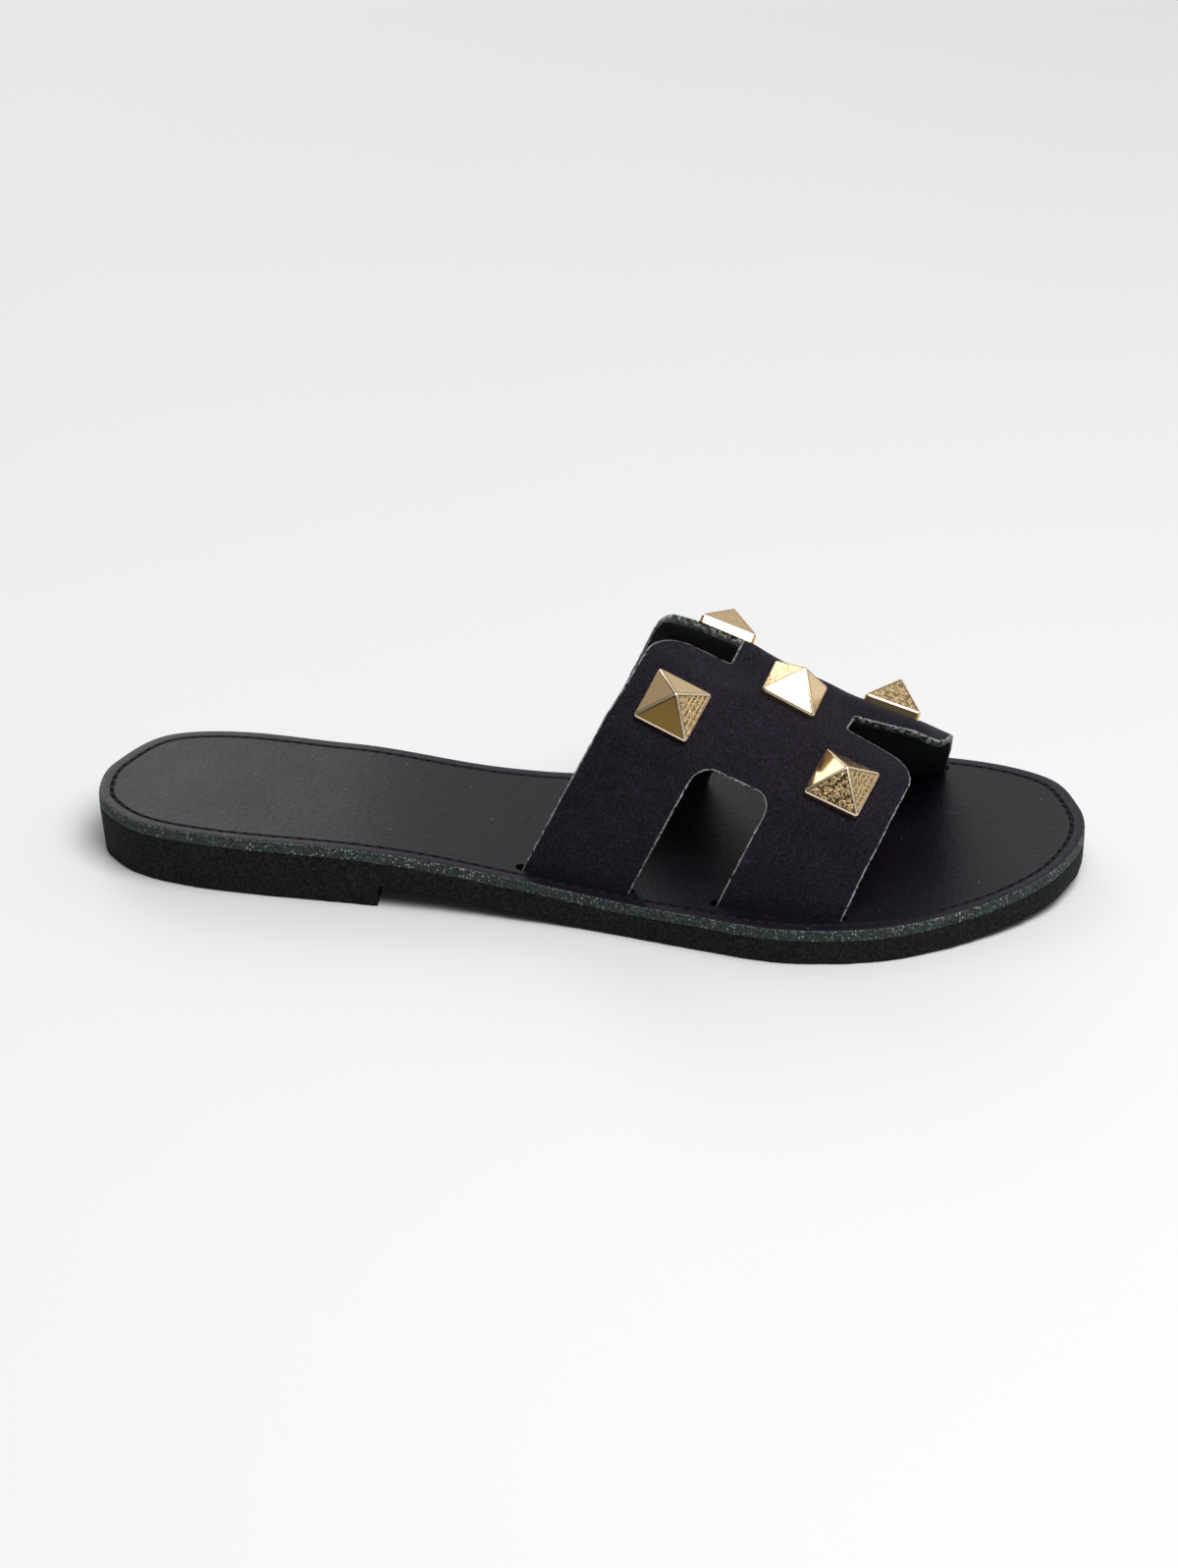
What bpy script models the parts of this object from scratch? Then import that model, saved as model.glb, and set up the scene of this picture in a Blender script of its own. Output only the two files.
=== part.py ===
"""Flat slide sandal, right shoe: rubber outsole, leather insole, one four-legged strap, pyramid studs.

Metres, +Z up, +X towards the toe, +Y towards the inner (medial) side of the foot.
The origin is on the floor, at the middle of the sole's outline.
"""
import math
from typing import NamedTuple

import bmesh
import bpy
from mathutils import Vector
from mathutils.geometry import delaunay_2d_cdt

MM = 0.001
SEAT_GAP = 0.3 * MM

# Sole sizes
SOLE_LENGTH = 247 * MM
BALL_WIDTH = 91 * MM
HEEL_TOP = 15.7 * MM
OUTSOLE_SHEET = 6.2 * MM
INSOLE_THICKNESS = 3.0 * MM
HEEL_SLOPE_START = 62 * MM
HEEL_SLOPE_END = 141 * MM
TOE_SPRING = 3.0 * MM
TOE_SPRING_START = 195 * MM
BREAST_STATION = 73.5 * MM
BREAST_FILLET = 1.6 * MM
SIDE_TAPER = 0.04
HEEL_TAPER = 0.10
HEEL_TAPER_END = 50 * MM
BOTTOM_EDGE_ROUND = 0.6 * MM
ARCH_RELIEF = 0.15 * MM
OUTLINE_POINTS = 112
SHEET_GRID = 9 * MM

# Strap sizes
WALL = 2.2 * MM
WINDOW_REAR = 8.5 * MM
WINDOW_FRONT = -10.8 * MM
WINDOW_TOP = 35 * MM
WINDOW_ROUND = 4.5 * MM
NOTCH_ROUND = 0.8 * MM
SLOT_END_PLAY = 0.6 * MM
LEG_END_RISE = 1.2 * MM
PATTERN_STEP = 3.2 * MM

# Stud sizes
STUD_SIDE = 14.6 * MM
STUD_SKIRT = 1.4 * MM
STUD_HEIGHT = 8.3 * MM
STUD_SPLITS = 4
STUD_PRESS = 0.7
STUD_PRESS_FADE = 9 * MM


class OutlineRow(NamedTuple):
    """One cross-section of the sole, as shares of the sole's length and ball width."""
    station: float
    lateral: float
    medial: float


OUTLINE_ROWS = (
    OutlineRow(station=0.008, lateral=0.132, medial=0.093),
    OutlineRow(station=0.049, lateral=0.245, medial=0.258),
    OutlineRow(station=0.121, lateral=0.305, medial=0.305),
    OutlineRow(station=0.243, lateral=0.341, medial=0.266),
    OutlineRow(station=0.385, lateral=0.379, medial=0.222),
    OutlineRow(station=0.506, lateral=0.429, medial=0.268),
    OutlineRow(station=0.607, lateral=0.499, medial=0.382),
    OutlineRow(station=0.709, lateral=0.560, medial=0.454),
    OutlineRow(station=0.810, lateral=0.524, medial=0.475),
    OutlineRow(station=0.899, lateral=0.396, medial=0.427),
    OutlineRow(station=0.964, lateral=0.236, medial=0.320),
    OutlineRow(station=0.992, lateral=0.088, medial=0.160),
)
HEEL_TIP_OFFSET = -0.020
TOE_TIP_OFFSET = 0.035


class StrapSection(NamedTuple):
    """One arch of the strap: each side's turn and forward lean (degrees), and the leather its turn takes."""
    along: float
    lateral_turn: float
    lateral_run: float
    lateral_lean: float
    medial_turn: float
    medial_run: float
    medial_lean: float


FRONT_SECTION = StrapSection(
    along=-37 * MM,
    lateral_turn=78.6, lateral_run=64 * MM, lateral_lean=20.5,
    medial_turn=57, medial_run=35 * MM, medial_lean=25)
MIDDLE_SECTION = StrapSection(
    along=0 * MM,
    lateral_turn=80.2, lateral_run=59 * MM, lateral_lean=23,
    medial_turn=81, medial_run=27 * MM, medial_lean=24.2)
REAR_SECTION = StrapSection(
    along=37 * MM,
    lateral_turn=81.8, lateral_run=54 * MM, lateral_lean=25.5,
    medial_turn=94, medial_run=21 * MM, medial_lean=23.5)

CROWN_STATION = 172.9 * MM
CROWN_OFFSET = -0.3 * MM
CROWN_HEIGHT = 49.6 * MM
CROWN_SLOPE = math.radians(23.4)
CROWN_YAW = math.radians(7.5)
SECTION_YAW = math.radians(13.9)


class StrapEnd(NamedTuple):
    """The front or rear edge on the flat pattern: the notch, then each side's flare, lobe, corner and foot."""
    notch_end: float
    lateral_notch: float
    lateral_flare: float
    lateral_lobe: float
    lateral_round: float
    lateral_foot: float
    medial_notch: float
    medial_flare: float
    medial_lobe: float
    medial_round: float
    medial_foot: float


FRONT_END = StrapEnd(
    notch_end=-17.8 * MM,
    lateral_notch=-6.6 * MM, lateral_flare=2.2 * MM, lateral_lobe=-38 * MM,
    lateral_round=9 * MM, lateral_foot=-39.2 * MM,
    medial_notch=0.2 * MM, medial_flare=5.5 * MM, medial_lobe=-39.6 * MM,
    medial_round=8 * MM, medial_foot=-43 * MM)
REAR_END = StrapEnd(
    notch_end=15.4 * MM,
    lateral_notch=-3.8 * MM, lateral_flare=0.8 * MM, lateral_lobe=34.5 * MM,
    lateral_round=9 * MM, lateral_foot=33.2 * MM,
    medial_notch=5.4 * MM, medial_flare=0.6 * MM, medial_lobe=37.6 * MM,
    medial_round=13 * MM, medial_foot=37.6 * MM)


class StudSeat(NamedTuple):
    """Where a hand-set stud sits on the flat pattern, and how it is turned and leans there, in degrees."""
    name: str
    across: float
    along: float
    turn: float
    lean_over: float
    lean_back: float


STUD_SEATS = (
    StudSeat("stud_center", across=-3.0 * MM, along=-1.4 * MM, turn=1, lean_over=0, lean_back=-1),
    StudSeat("stud_rear_lateral", across=-25.5 * MM, along=21.4 * MM, turn=3, lean_over=2, lean_back=3),
    StudSeat("stud_rear_medial", across=12.6 * MM, along=21.0 * MM, turn=-1, lean_over=0, lean_back=2),
    StudSeat("stud_front_lateral", across=-25.1 * MM, along=-23.8 * MM, turn=3, lean_over=6, lean_back=5),
    StudSeat("stud_front_medial", across=16.1 * MM, along=-24.0 * MM, turn=0, lean_over=0, lean_back=2.5),
)


def smooth_step(share):
    share = min(max(share, 0.0), 1.0)
    return share * share * (3 - 2 * share)


def closed_curve(controls, count):
    """A smooth closed curve through the controls, as evenly spaced points."""
    fine = []
    splits = 24
    total = len(controls)
    for index in range(total):
        before, start, end, after = (controls[(index + step) % total] for step in (-1, 0, 1, 2))
        reach = (end - start).length
        leave = (end - before) * reach / ((start - before).length + reach)
        arrive = (after - start) * reach / ((after - end).length + reach)
        for split in range(splits):
            u = split / splits
            fine.append(start * (2 * u ** 3 - 3 * u ** 2 + 1) + leave * (u ** 3 - 2 * u ** 2 + u)
                        + end * (3 * u ** 2 - 2 * u ** 3) + arrive * (u ** 3 - u ** 2))
    return even_points(fine, count)


def even_points(loop, count):
    """Points at equal steps round a closed loop."""
    lengths = [0.0]
    for index, point in enumerate(loop):
        lengths.append(lengths[-1] + (loop[(index + 1) % len(loop)] - point).length)
    points = []
    index = 0
    for step in range(count):
        target = lengths[-1] * step / count
        while lengths[index + 1] < target:
            index += 1
        share = (target - lengths[index]) / (lengths[index + 1] - lengths[index])
        points.append(loop[index].lerp(loop[(index + 1) % len(loop)], share))
    return points


def inset(loop, distance):
    """Move each point of an anticlockwise loop inwards."""
    moved = []
    for index, point in enumerate(loop):
        run = loop[(index + 1) % len(loop)] - loop[index - 1]
        inward = Vector((-run.y, run.x)).normalized()
        moved.append(point + inward * distance)
    return moved


def sole_outline():
    """The insole's outline seen from above, anticlockwise, centred on its own box."""
    lateral = [Vector((row.station * SOLE_LENGTH, -row.lateral * BALL_WIDTH)) for row in OUTLINE_ROWS]
    medial = [Vector((row.station * SOLE_LENGTH, row.medial * BALL_WIDTH)) for row in OUTLINE_ROWS]
    heel_tip = Vector((0, HEEL_TIP_OFFSET * BALL_WIDTH))
    toe_tip = Vector((SOLE_LENGTH, TOE_TIP_OFFSET * BALL_WIDTH))
    loop = closed_curve([heel_tip] + lateral + [toe_tip] + medial[::-1], OUTLINE_POINTS)
    low = Vector((min(p.x for p in loop), min(p.y for p in loop)))
    high = Vector((max(p.x for p in loop), max(p.y for p in loop)))
    middle = (low + high) / 2
    return [p - middle for p in loop], middle


SOLE_LOOP, SOLE_MIDDLE = sole_outline()


def station(x):
    """Distance from the heel end."""
    return x + SOLE_MIDDLE.x


def toe_lift(x):
    share = (station(x) - TOE_SPRING_START) / (SOLE_LENGTH - TOE_SPRING_START)
    return TOE_SPRING * max(share, 0.0) ** 2


def insole_top(x):
    ball_top = OUTSOLE_SHEET + SEAT_GAP + INSOLE_THICKNESS
    fall = smooth_step((HEEL_SLOPE_END - station(x)) / (HEEL_SLOPE_END - HEEL_SLOPE_START))
    return ball_top + (HEEL_TOP - ball_top) * fall + toe_lift(x)


def insole_base(x):
    return insole_top(x) - INSOLE_THICKNESS


def outsole_top(x):
    return insole_base(x) - SEAT_GAP


def side_taper(x):
    """How much the rubber's side leans in: most at the back of the heel."""
    return SIDE_TAPER + (HEEL_TAPER - SIDE_TAPER) * smooth_step(1 - station(x) / HEEL_TAPER_END)


def inside(point, loop):
    """Even-odd test of a point against a loop."""
    hit = False
    for index, a in enumerate(loop):
        b = loop[index - 1]
        if (a.y > point.y) != (b.y > point.y):
            if point.x < (b.x - a.x) * (point.y - a.y) / (b.y - a.y) + a.x:
                hit = not hit
    return hit


def edge_distance(point, loop):
    nearest = math.inf
    for index, a in enumerate(loop):
        run = a - loop[index - 1]
        share = min(max((point - loop[index - 1]).dot(run) / run.length_squared, 0.0), 1.0)
        nearest = min(nearest, (loop[index - 1] + run * share - point).length)
    return nearest


def filled(loops, step):
    """Triangulate an outline with holes, with a staggered grid of points inside it."""
    outer = loops[0]
    low = Vector((min(p.x for p in outer), min(p.y for p in outer)))
    high = Vector((max(p.x for p in outer), max(p.y for p in outer)))
    points = [p for loop in loops for p in loop]
    row_step = step * math.sqrt(3) / 2
    for row in range(int((high.y - low.y) / row_step) + 1):
        for column in range(int((high.x - low.x) / step) + 2):
            point = low + Vector(((column - 0.5 * (row % 2)) * step, (row + 0.5) * row_step))
            if sum(inside(point, loop) for loop in loops) != 1:
                continue
            if min(edge_distance(point, loop) for loop in loops) > 0.55 * step:
                points.append(point)
    faces = []
    first = 0
    for loop in loops:
        faces.append(list(range(first, first + len(loop))))
        first += len(loop)
    flat, _, triangles, *_ = delaunay_2d_cdt(points, [], faces, 2, 1e-7)
    return flat, triangles


def add_object(name, mesh_builder, material):
    mesh = bpy.data.meshes.new(name)
    mesh_builder.normal_update()
    mesh_builder.to_mesh(mesh)
    mesh_builder.free()
    mesh.shade_smooth()
    mesh.set_sharp_from_angle(angle=math.radians(35))
    if material:
        mesh.materials.append(material)
    thing = bpy.data.objects.new(name, mesh)
    bpy.context.scene.collection.objects.link(thing)
    return thing


def flat_cut_sheet(loops, step, upper, lower):
    """A sheet cut to the loops, with its two faces put in space by the given functions."""
    flat, triangles = filled(loops, step)
    builder = bmesh.new()
    top = [builder.verts.new(upper(p)) for p in flat]
    bottom = [builder.verts.new(lower(p)) for p in flat]
    edges = set()
    for a, b, c in triangles:
        builder.faces.new((top[a], top[b], top[c]))
        builder.faces.new((bottom[c], bottom[b], bottom[a]))
        edges.update(((a, b), (b, c), (c, a)))
    for a, b in edges:
        if (b, a) not in edges:
            builder.faces.new((top[a], bottom[a], bottom[b], top[b]))
    return builder


def outsole_block(material):
    """The full block under the insole, before the waist and the toe are cut away."""
    flat, triangles = filled([SOLE_LOOP], SHEET_GRID)
    builder = bmesh.new()
    top = [builder.verts.new((p.x, p.y, outsole_top(p.x))) for p in flat]
    for triangle in triangles:
        builder.faces.new([top[index] for index in triangle])
    rim = top[:len(SOLE_LOOP)]
    foot = []
    ground = []
    for point, low_point in zip(SOLE_LOOP, inset(SOLE_LOOP, 1.0)):
        inward = low_point - point
        taper = side_taper(point.x) * (outsole_top(point.x) - BOTTOM_EDGE_ROUND)
        side = point + inward * taper
        floor = point + inward * (taper + BOTTOM_EDGE_ROUND)
        foot.append(builder.verts.new((side.x, side.y, BOTTOM_EDGE_ROUND)))
        ground.append(builder.verts.new((floor.x, floor.y, 0)))
    for upper, lower in ((rim, foot), (foot, ground)):
        for index, vert in enumerate(upper):
            builder.faces.new((upper[index - 1], lower[index - 1], lower[index], vert))
    builder.faces.new(ground[::-1])
    return add_object("outsole", builder, material)


def arch_profile():
    """Side view of what is cut away: heel breast, waist, and the rise under the toe."""
    breast = BREAST_STATION - SOLE_MIDDLE.x
    depth = -6 * MM
    toe_end = SOLE_LENGTH / 2 + 10 * MM
    corner_top = outsole_top(breast) - OUTSOLE_SHEET - ARCH_RELIEF
    profile = [Vector((breast, depth))]
    for turn in range(5):
        angle = math.radians(90 * turn / 4)
        profile.append(Vector((breast + BREAST_FILLET * (1 - math.cos(angle)),
                               corner_top - BREAST_FILLET * (1 - math.sin(angle)))))
    steps = 44
    start = breast + BREAST_FILLET
    for step in range(1, steps + 1):
        x = start + (toe_end - start) * step / steps
        profile.append(Vector((x, outsole_top(x) - OUTSOLE_SHEET - ARCH_RELIEF)))
    profile.append(Vector((toe_end, depth)))
    return profile


def arch_cutter():
    builder = bmesh.new()
    half_width = BALL_WIDTH
    near = [builder.verts.new((p.x, -half_width, p.y)) for p in arch_profile()]
    far = [builder.verts.new((p.x, half_width, p.y)) for p in arch_profile()]
    builder.faces.new(near[::-1])
    builder.faces.new(far)
    for index, vert in enumerate(near):
        builder.faces.new((near[index - 1], vert, far[index], far[index - 1]))
    bmesh.ops.recalc_face_normals(builder, faces=builder.faces)
    cutter = add_object("arch_cutter", builder, None)
    cutter.hide_render = True
    cutter.display_type = "WIRE"
    return cutter


def make_outsole(material):
    outsole = outsole_block(material)
    cut = outsole.modifiers.new("waist and toe", "BOOLEAN")
    cut.operation = "DIFFERENCE"
    cut.solver = "EXACT"
    cut.object = arch_cutter()
    return outsole


def crown_point(along):
    """The strap's highest line, rising towards the instep."""
    run = along * math.cos(CROWN_SLOPE)
    return Vector((CROWN_STATION - SOLE_MIDDLE.x - run * math.cos(CROWN_YAW),
                   CROWN_OFFSET - SOLE_MIDDLE.y + run * math.sin(CROWN_YAW),
                   CROWN_HEIGHT + along * math.sin(CROWN_SLOPE)))


def section_value(column, along):
    """A column of the strap's three sections, as a smooth curve along the strap."""
    front, middle, rear = (getattr(row, column) for row in (FRONT_SECTION, MIDDLE_SECTION, REAR_SECTION))
    share = (along - MIDDLE_SECTION.along) / (REAR_SECTION.along - MIDDLE_SECTION.along)
    return middle + (rear - front) / 2 * share + (front + rear - 2 * middle) / 2 * share ** 2


def bent_middle(across, along):
    """A point of the flat pattern, bent over the foot: the middle of the leather before it is studded."""
    side = "medial" if across > 0 else "lateral"
    turn = math.radians(section_value(side + "_turn", along))
    lean = math.radians(section_value(side + "_lean", along))
    run = section_value(side + "_run", along)
    steps = 32
    reach = 0.0
    drop = 0.0
    for step in range(steps):
        angle = turn * smooth_step((step + 0.5) / steps * abs(across) / run)
        reach += math.cos(angle) / steps
        drop += math.sin(angle) / steps
    sideways = Vector((math.sin(SECTION_YAW), math.cos(SECTION_YAW), 0))
    forward = Vector((math.cos(SECTION_YAW), -math.sin(SECTION_YAW), 0))
    down = -math.sin(lean) * forward - Vector((0, 0, math.cos(lean)))
    return crown_point(along) + sideways * (across * reach) + down * (abs(across) * drop)


def stud_axes(seat):
    """A seated stud's own directions: over the strap, back to the heel, and up."""
    nudge = 0.2 * MM
    middle = bent_middle(seat.across, seat.along)
    over = bent_middle(seat.across + nudge, seat.along) - bent_middle(seat.across - nudge, seat.along)
    back = (bent_middle(seat.across, seat.along + nudge) - middle).normalized()
    normal = over.cross(back).normalized()
    over = back.cross(normal)
    lean = over * math.tan(math.radians(seat.lean_over)) + back * math.tan(math.radians(seat.lean_back))
    up = (normal + lean).normalized()
    turn = math.radians(seat.turn)
    back = back * math.cos(turn) + over * math.sin(turn)
    back = (back - up * back.dot(up)).normalized()
    return back.cross(up), back, up


def stud_plane(seat):
    """The plane that a stud presses the leather to, lifted so that a leaning stud doesn't dent it."""
    up = stud_axes(seat)[2]
    lift = STUD_SIDE / 4 * sum(math.tan(math.radians(abs(lean))) for lean in (seat.lean_over, seat.lean_back))
    return seat, bent_middle(seat.across, seat.along) + up * lift, up


STUD_PLANES = [stud_plane(seat) for seat in STUD_SEATS]


def strap_middle(across, along):
    """The middle of the leather, which each stud presses flatter under its base."""
    point = bent_middle(across, along)
    for seat, centre, up in STUD_PLANES:
        press = STUD_PRESS
        for distance in (abs(across - seat.across), abs(along - seat.along)):
            press *= smooth_step(1 - (distance - STUD_SIDE / 2) / STUD_PRESS_FADE)
        point = point - up * ((point - centre).dot(up) * press)
    return point


def strap_normal(across, along):
    nudge = 0.2 * MM
    over = strap_middle(across + nudge, along) - strap_middle(across - nudge, along)
    back = strap_middle(across, along + nudge) - strap_middle(across, along - nudge)
    return over.cross(back).normalized()


def strap_point(across, along, height):
    """A point above (or below) the middle of the leather."""
    return strap_middle(across, along) + strap_normal(across, along) * height


def meeting_point(side, along, level):
    """How far down a leg, on the flat pattern, it meets a level given as a function of x."""
    near = 25 * MM
    far = 110 * MM
    for _ in range(40):
        middle = (near + far) / 2
        point = strap_middle(side * middle, along)
        if point.z > level(point.x):
            near = middle
        else:
            far = middle
    return side * near


def leg_foot(x):
    """Where a leg stops inside its slot."""
    return outsole_top(x) + LEG_END_RISE


def leg_ends(side, start, end):
    """The end of a leg, level with the underside of the insole."""
    steps = 8
    for step in range(steps + 1):
        along = start + (end - start) * step / steps
        yield Vector((meeting_point(side, along, leg_foot), along)), 0.0


def strap_corners():
    """Corners of the flat pattern with their rounding, anticlockwise from the front lateral leg."""
    for end, window, order in ((FRONT_END, WINDOW_FRONT, 1), (REAR_END, WINDOW_REAR, -1)):
        lobes = (Vector((end.lateral_notch - end.lateral_flare, end.lateral_lobe)),
                 Vector((end.medial_notch + end.medial_flare, end.medial_lobe)))[::order]
        rounds = (end.lateral_round, end.medial_round)[::order]
        notch = (end.lateral_notch, end.medial_notch)[::order]
        feet = (end.lateral_foot, end.medial_foot)[::order]
        yield from leg_ends(-order, window, feet[0])
        yield lobes[0], rounds[0]
        yield Vector((notch[0], end.notch_end)), NOTCH_ROUND
        yield Vector((notch[1], end.notch_end)), NOTCH_ROUND
        yield lobes[1], rounds[1]
        yield from leg_ends(order, feet[1], window)
        for along in (WINDOW_FRONT, WINDOW_REAR)[::order]:
            yield Vector((order * WINDOW_TOP, along)), WINDOW_ROUND


def rounded(corners):
    """Replace each corner that has a radius by an arc."""
    corners = list(corners)
    loop = []
    for index, (corner, radius) in enumerate(corners):
        if not radius:
            loop.append(corner)
            continue
        to_last = (corners[index - 1][0] - corner).normalized()
        to_next = (corners[(index + 1) % len(corners)][0] - corner).normalized()
        half = to_last.angle(to_next) / 2
        centre = corner + (to_last + to_next).normalized() * radius / math.sin(half)
        start = corner + to_last * radius / math.tan(half) - centre
        end = corner + to_next * radius / math.tan(half) - centre
        splits = max(3, round(radius / (1.2 * MM)))
        sweep = start.angle_signed(end)
        for split in range(splits + 1):
            angle = -sweep * split / splits
            turned = Vector((start.x * math.cos(angle) - start.y * math.sin(angle),
                             start.x * math.sin(angle) + start.y * math.cos(angle)))
            loop.append(centre + turned)
    return loop


def split_edges(loop, longest):
    """Add points so that no edge is longer than asked."""
    finer = []
    for index, point in enumerate(loop):
        following = loop[(index + 1) % len(loop)]
        splits = max(1, math.ceil((following - point).length / longest))
        finer.extend(point.lerp(following, split / splits) for split in range(splits))
    return finer


def make_strap(material):
    loop = split_edges(rounded(strap_corners()), PATTERN_STEP)
    builder = flat_cut_sheet(
        [loop], PATTERN_STEP,
        lambda p: strap_point(p.x, p.y, WALL / 2), lambda p: strap_point(p.x, p.y, -WALL / 2))
    return add_object("strap", builder, material)


def slot_loop(side, front, rear):
    """A punched slot that clears one leg on its way through the insole."""
    steps = 10
    tops = []
    bases = []
    for step in range(steps + 1):
        along = front + (rear - front) * step / steps
        tops.append(strap_middle(meeting_point(side, along, insole_top), along).to_2d())
        bases.append(strap_middle(meeting_point(side, along, insole_base), along).to_2d())
    middles = [(top + base) / 2 for top, base in zip(tops, bases)]
    run = (tops[-1] - tops[0]).normalized()
    aside = Vector((-run.y, run.x))
    slant = max(abs((top - base).dot(aside)) for top, base in zip(tops, bases))
    drift = max(abs((top - base).dot(run)) for top, base in zip(tops, bases))
    half_width = WALL / 2 * math.hypot(1, slant / INSOLE_THICKNESS) + SEAT_GAP + slant / 2
    stretch = run * (drift / 2 + SLOT_END_PLAY)
    middles[0] = middles[0] - stretch
    middles[-1] = middles[-1] + stretch
    return [m + aside * half_width for m in middles] + [m - aside * half_width for m in middles[::-1]]


def make_insole(material):
    slots = [slot_loop(-1, FRONT_END.lateral_foot, WINDOW_FRONT),
             slot_loop(-1, WINDOW_REAR, REAR_END.lateral_foot),
             slot_loop(1, FRONT_END.medial_foot, WINDOW_FRONT),
             slot_loop(1, WINDOW_REAR, REAR_END.medial_foot)]
    builder = flat_cut_sheet(
        [SOLE_LOOP] + slots, SHEET_GRID,
        lambda p: Vector((p.x, p.y, insole_top(p.x))), lambda p: Vector((p.x, p.y, insole_base(p.x))))
    return add_object("insole", builder, material)


def make_stud(seat, material):
    """A pyramid on a short skirt, whose underside follows the strap."""
    centre = strap_point(seat.across, seat.along, WALL / 2)
    over, back, up = stud_axes(seat)
    builder = bmesh.new()
    count = STUD_SPLITS + 1
    base = {}
    for row in range(count):
        for column in range(count):
            want_over = (column / STUD_SPLITS - 0.5) * STUD_SIDE
            want_back = (row / STUD_SPLITS - 0.5) * STUD_SIDE
            across = seat.across + want_over
            along = seat.along + want_back
            for _ in range(4):
                offset = strap_point(across, along, WALL / 2 + SEAT_GAP) - centre
                across += want_over - offset.dot(over)
                along += want_back - offset.dot(back)
            base[row, column] = builder.verts.new(centre + offset)
    for row in range(STUD_SPLITS):
        for column in range(STUD_SPLITS):
            builder.faces.new((base[row, column], base[row + 1, column],
                               base[row + 1, column + 1], base[row, column + 1]))
    rim = ([(0, column) for column in range(STUD_SPLITS)]
           + [(row, STUD_SPLITS) for row in range(STUD_SPLITS)]
           + [(STUD_SPLITS, column) for column in range(STUD_SPLITS, 0, -1)]
           + [(row, 0) for row in range(STUD_SPLITS, 0, -1)])
    eaves = []
    for row, column in rim:
        foot = base[row, column].co
        eaves.append(builder.verts.new(foot - up * (foot - centre).dot(up) + up * STUD_SKIRT))
    tip = builder.verts.new(centre + up * STUD_HEIGHT)
    for index, key in enumerate(rim):
        builder.faces.new((base[rim[index - 1]], base[key], eaves[index], eaves[index - 1]))
        builder.faces.new((eaves[index - 1], eaves[index], tip))
    bmesh.ops.recalc_face_normals(builder, faces=builder.faces)
    return add_object(seat.name, builder, material)


def plain_material(name, colour, roughness, metallic=0.0):
    material = bpy.data.materials.new(name)
    material.use_nodes = True
    shader = material.node_tree.nodes["Principled BSDF"]
    shader.inputs["Base Color"].default_value = (*colour, 1.0)
    shader.inputs["Roughness"].default_value = roughness
    shader.inputs["Metallic"].default_value = metallic
    return material


def clear_scene():
    for thing in list(bpy.data.objects):
        bpy.data.objects.remove(thing)


def main():
    clear_scene()
    make_outsole(plain_material("black_rubber", (0.010, 0.010, 0.011), 0.85))
    make_insole(plain_material("black_leather", (0.018, 0.018, 0.020), 0.45))
    make_strap(plain_material("aubergine_nubuck", (0.020, 0.015, 0.026), 0.90))
    gold = plain_material("pale_gold", (0.86, 0.68, 0.42), 0.22, metallic=1.0)
    for seat in STUD_SEATS:
        make_stud(seat, gold)


main()
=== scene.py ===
"""Looks of a studded slide sandal, right shoe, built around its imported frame.

Metres, +Z up, +X towards the toe, +Y towards the inner (medial) side of the foot.
The flat pieces are cut and edged flat, as a maker does it, and then bent to their place.
"""
import math
from typing import NamedTuple

import bmesh
import bpy
import numpy as np
from bpy.props import FloatProperty, FloatVectorProperty, PointerProperty
from mathutils import Matrix, Vector, noise


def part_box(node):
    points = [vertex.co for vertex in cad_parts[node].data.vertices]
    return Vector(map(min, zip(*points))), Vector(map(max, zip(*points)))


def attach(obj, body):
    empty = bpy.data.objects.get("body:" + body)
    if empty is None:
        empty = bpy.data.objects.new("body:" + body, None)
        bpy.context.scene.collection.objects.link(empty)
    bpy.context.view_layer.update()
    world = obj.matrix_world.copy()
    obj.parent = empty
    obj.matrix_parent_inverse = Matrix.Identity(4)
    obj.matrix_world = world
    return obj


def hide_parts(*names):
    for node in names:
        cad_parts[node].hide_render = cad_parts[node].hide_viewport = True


bl_info = {
    "name": "Studded slide sandal",
    "version": (1, 0, 0),
    "blender": (4, 5, 0),
    "location": "View3D > Sidebar > Sandal",
    "description": "Builds the looks of a studded slide sandal around its packed frame",
    "category": "Object",
}

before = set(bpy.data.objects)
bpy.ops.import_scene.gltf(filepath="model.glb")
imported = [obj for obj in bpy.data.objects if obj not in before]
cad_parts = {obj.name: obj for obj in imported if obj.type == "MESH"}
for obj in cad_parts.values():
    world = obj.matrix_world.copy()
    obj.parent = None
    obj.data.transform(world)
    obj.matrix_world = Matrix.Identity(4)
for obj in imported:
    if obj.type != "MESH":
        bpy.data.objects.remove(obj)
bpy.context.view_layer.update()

MM = 0.001
SOLE_LOW, SOLE_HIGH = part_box("insole")

OUTLINE_POINTS = 336
BEND_STEPS = 32
FLAT_SOLE = 10 * MM
EDGE_BAND = 1 * MM
SEAT_GAP = 0.3 * MM
TOUCH = 0.05 * MM
NUDGE = 0.2 * MM
TINY = 1e-7
LEVEL_TOLERANCE = 1e-6


class OutlineRow(NamedTuple):
    """One cross-section of the sole, as shares of the sole's length and ball width."""
    station: float
    lateral: float
    medial: float


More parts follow.
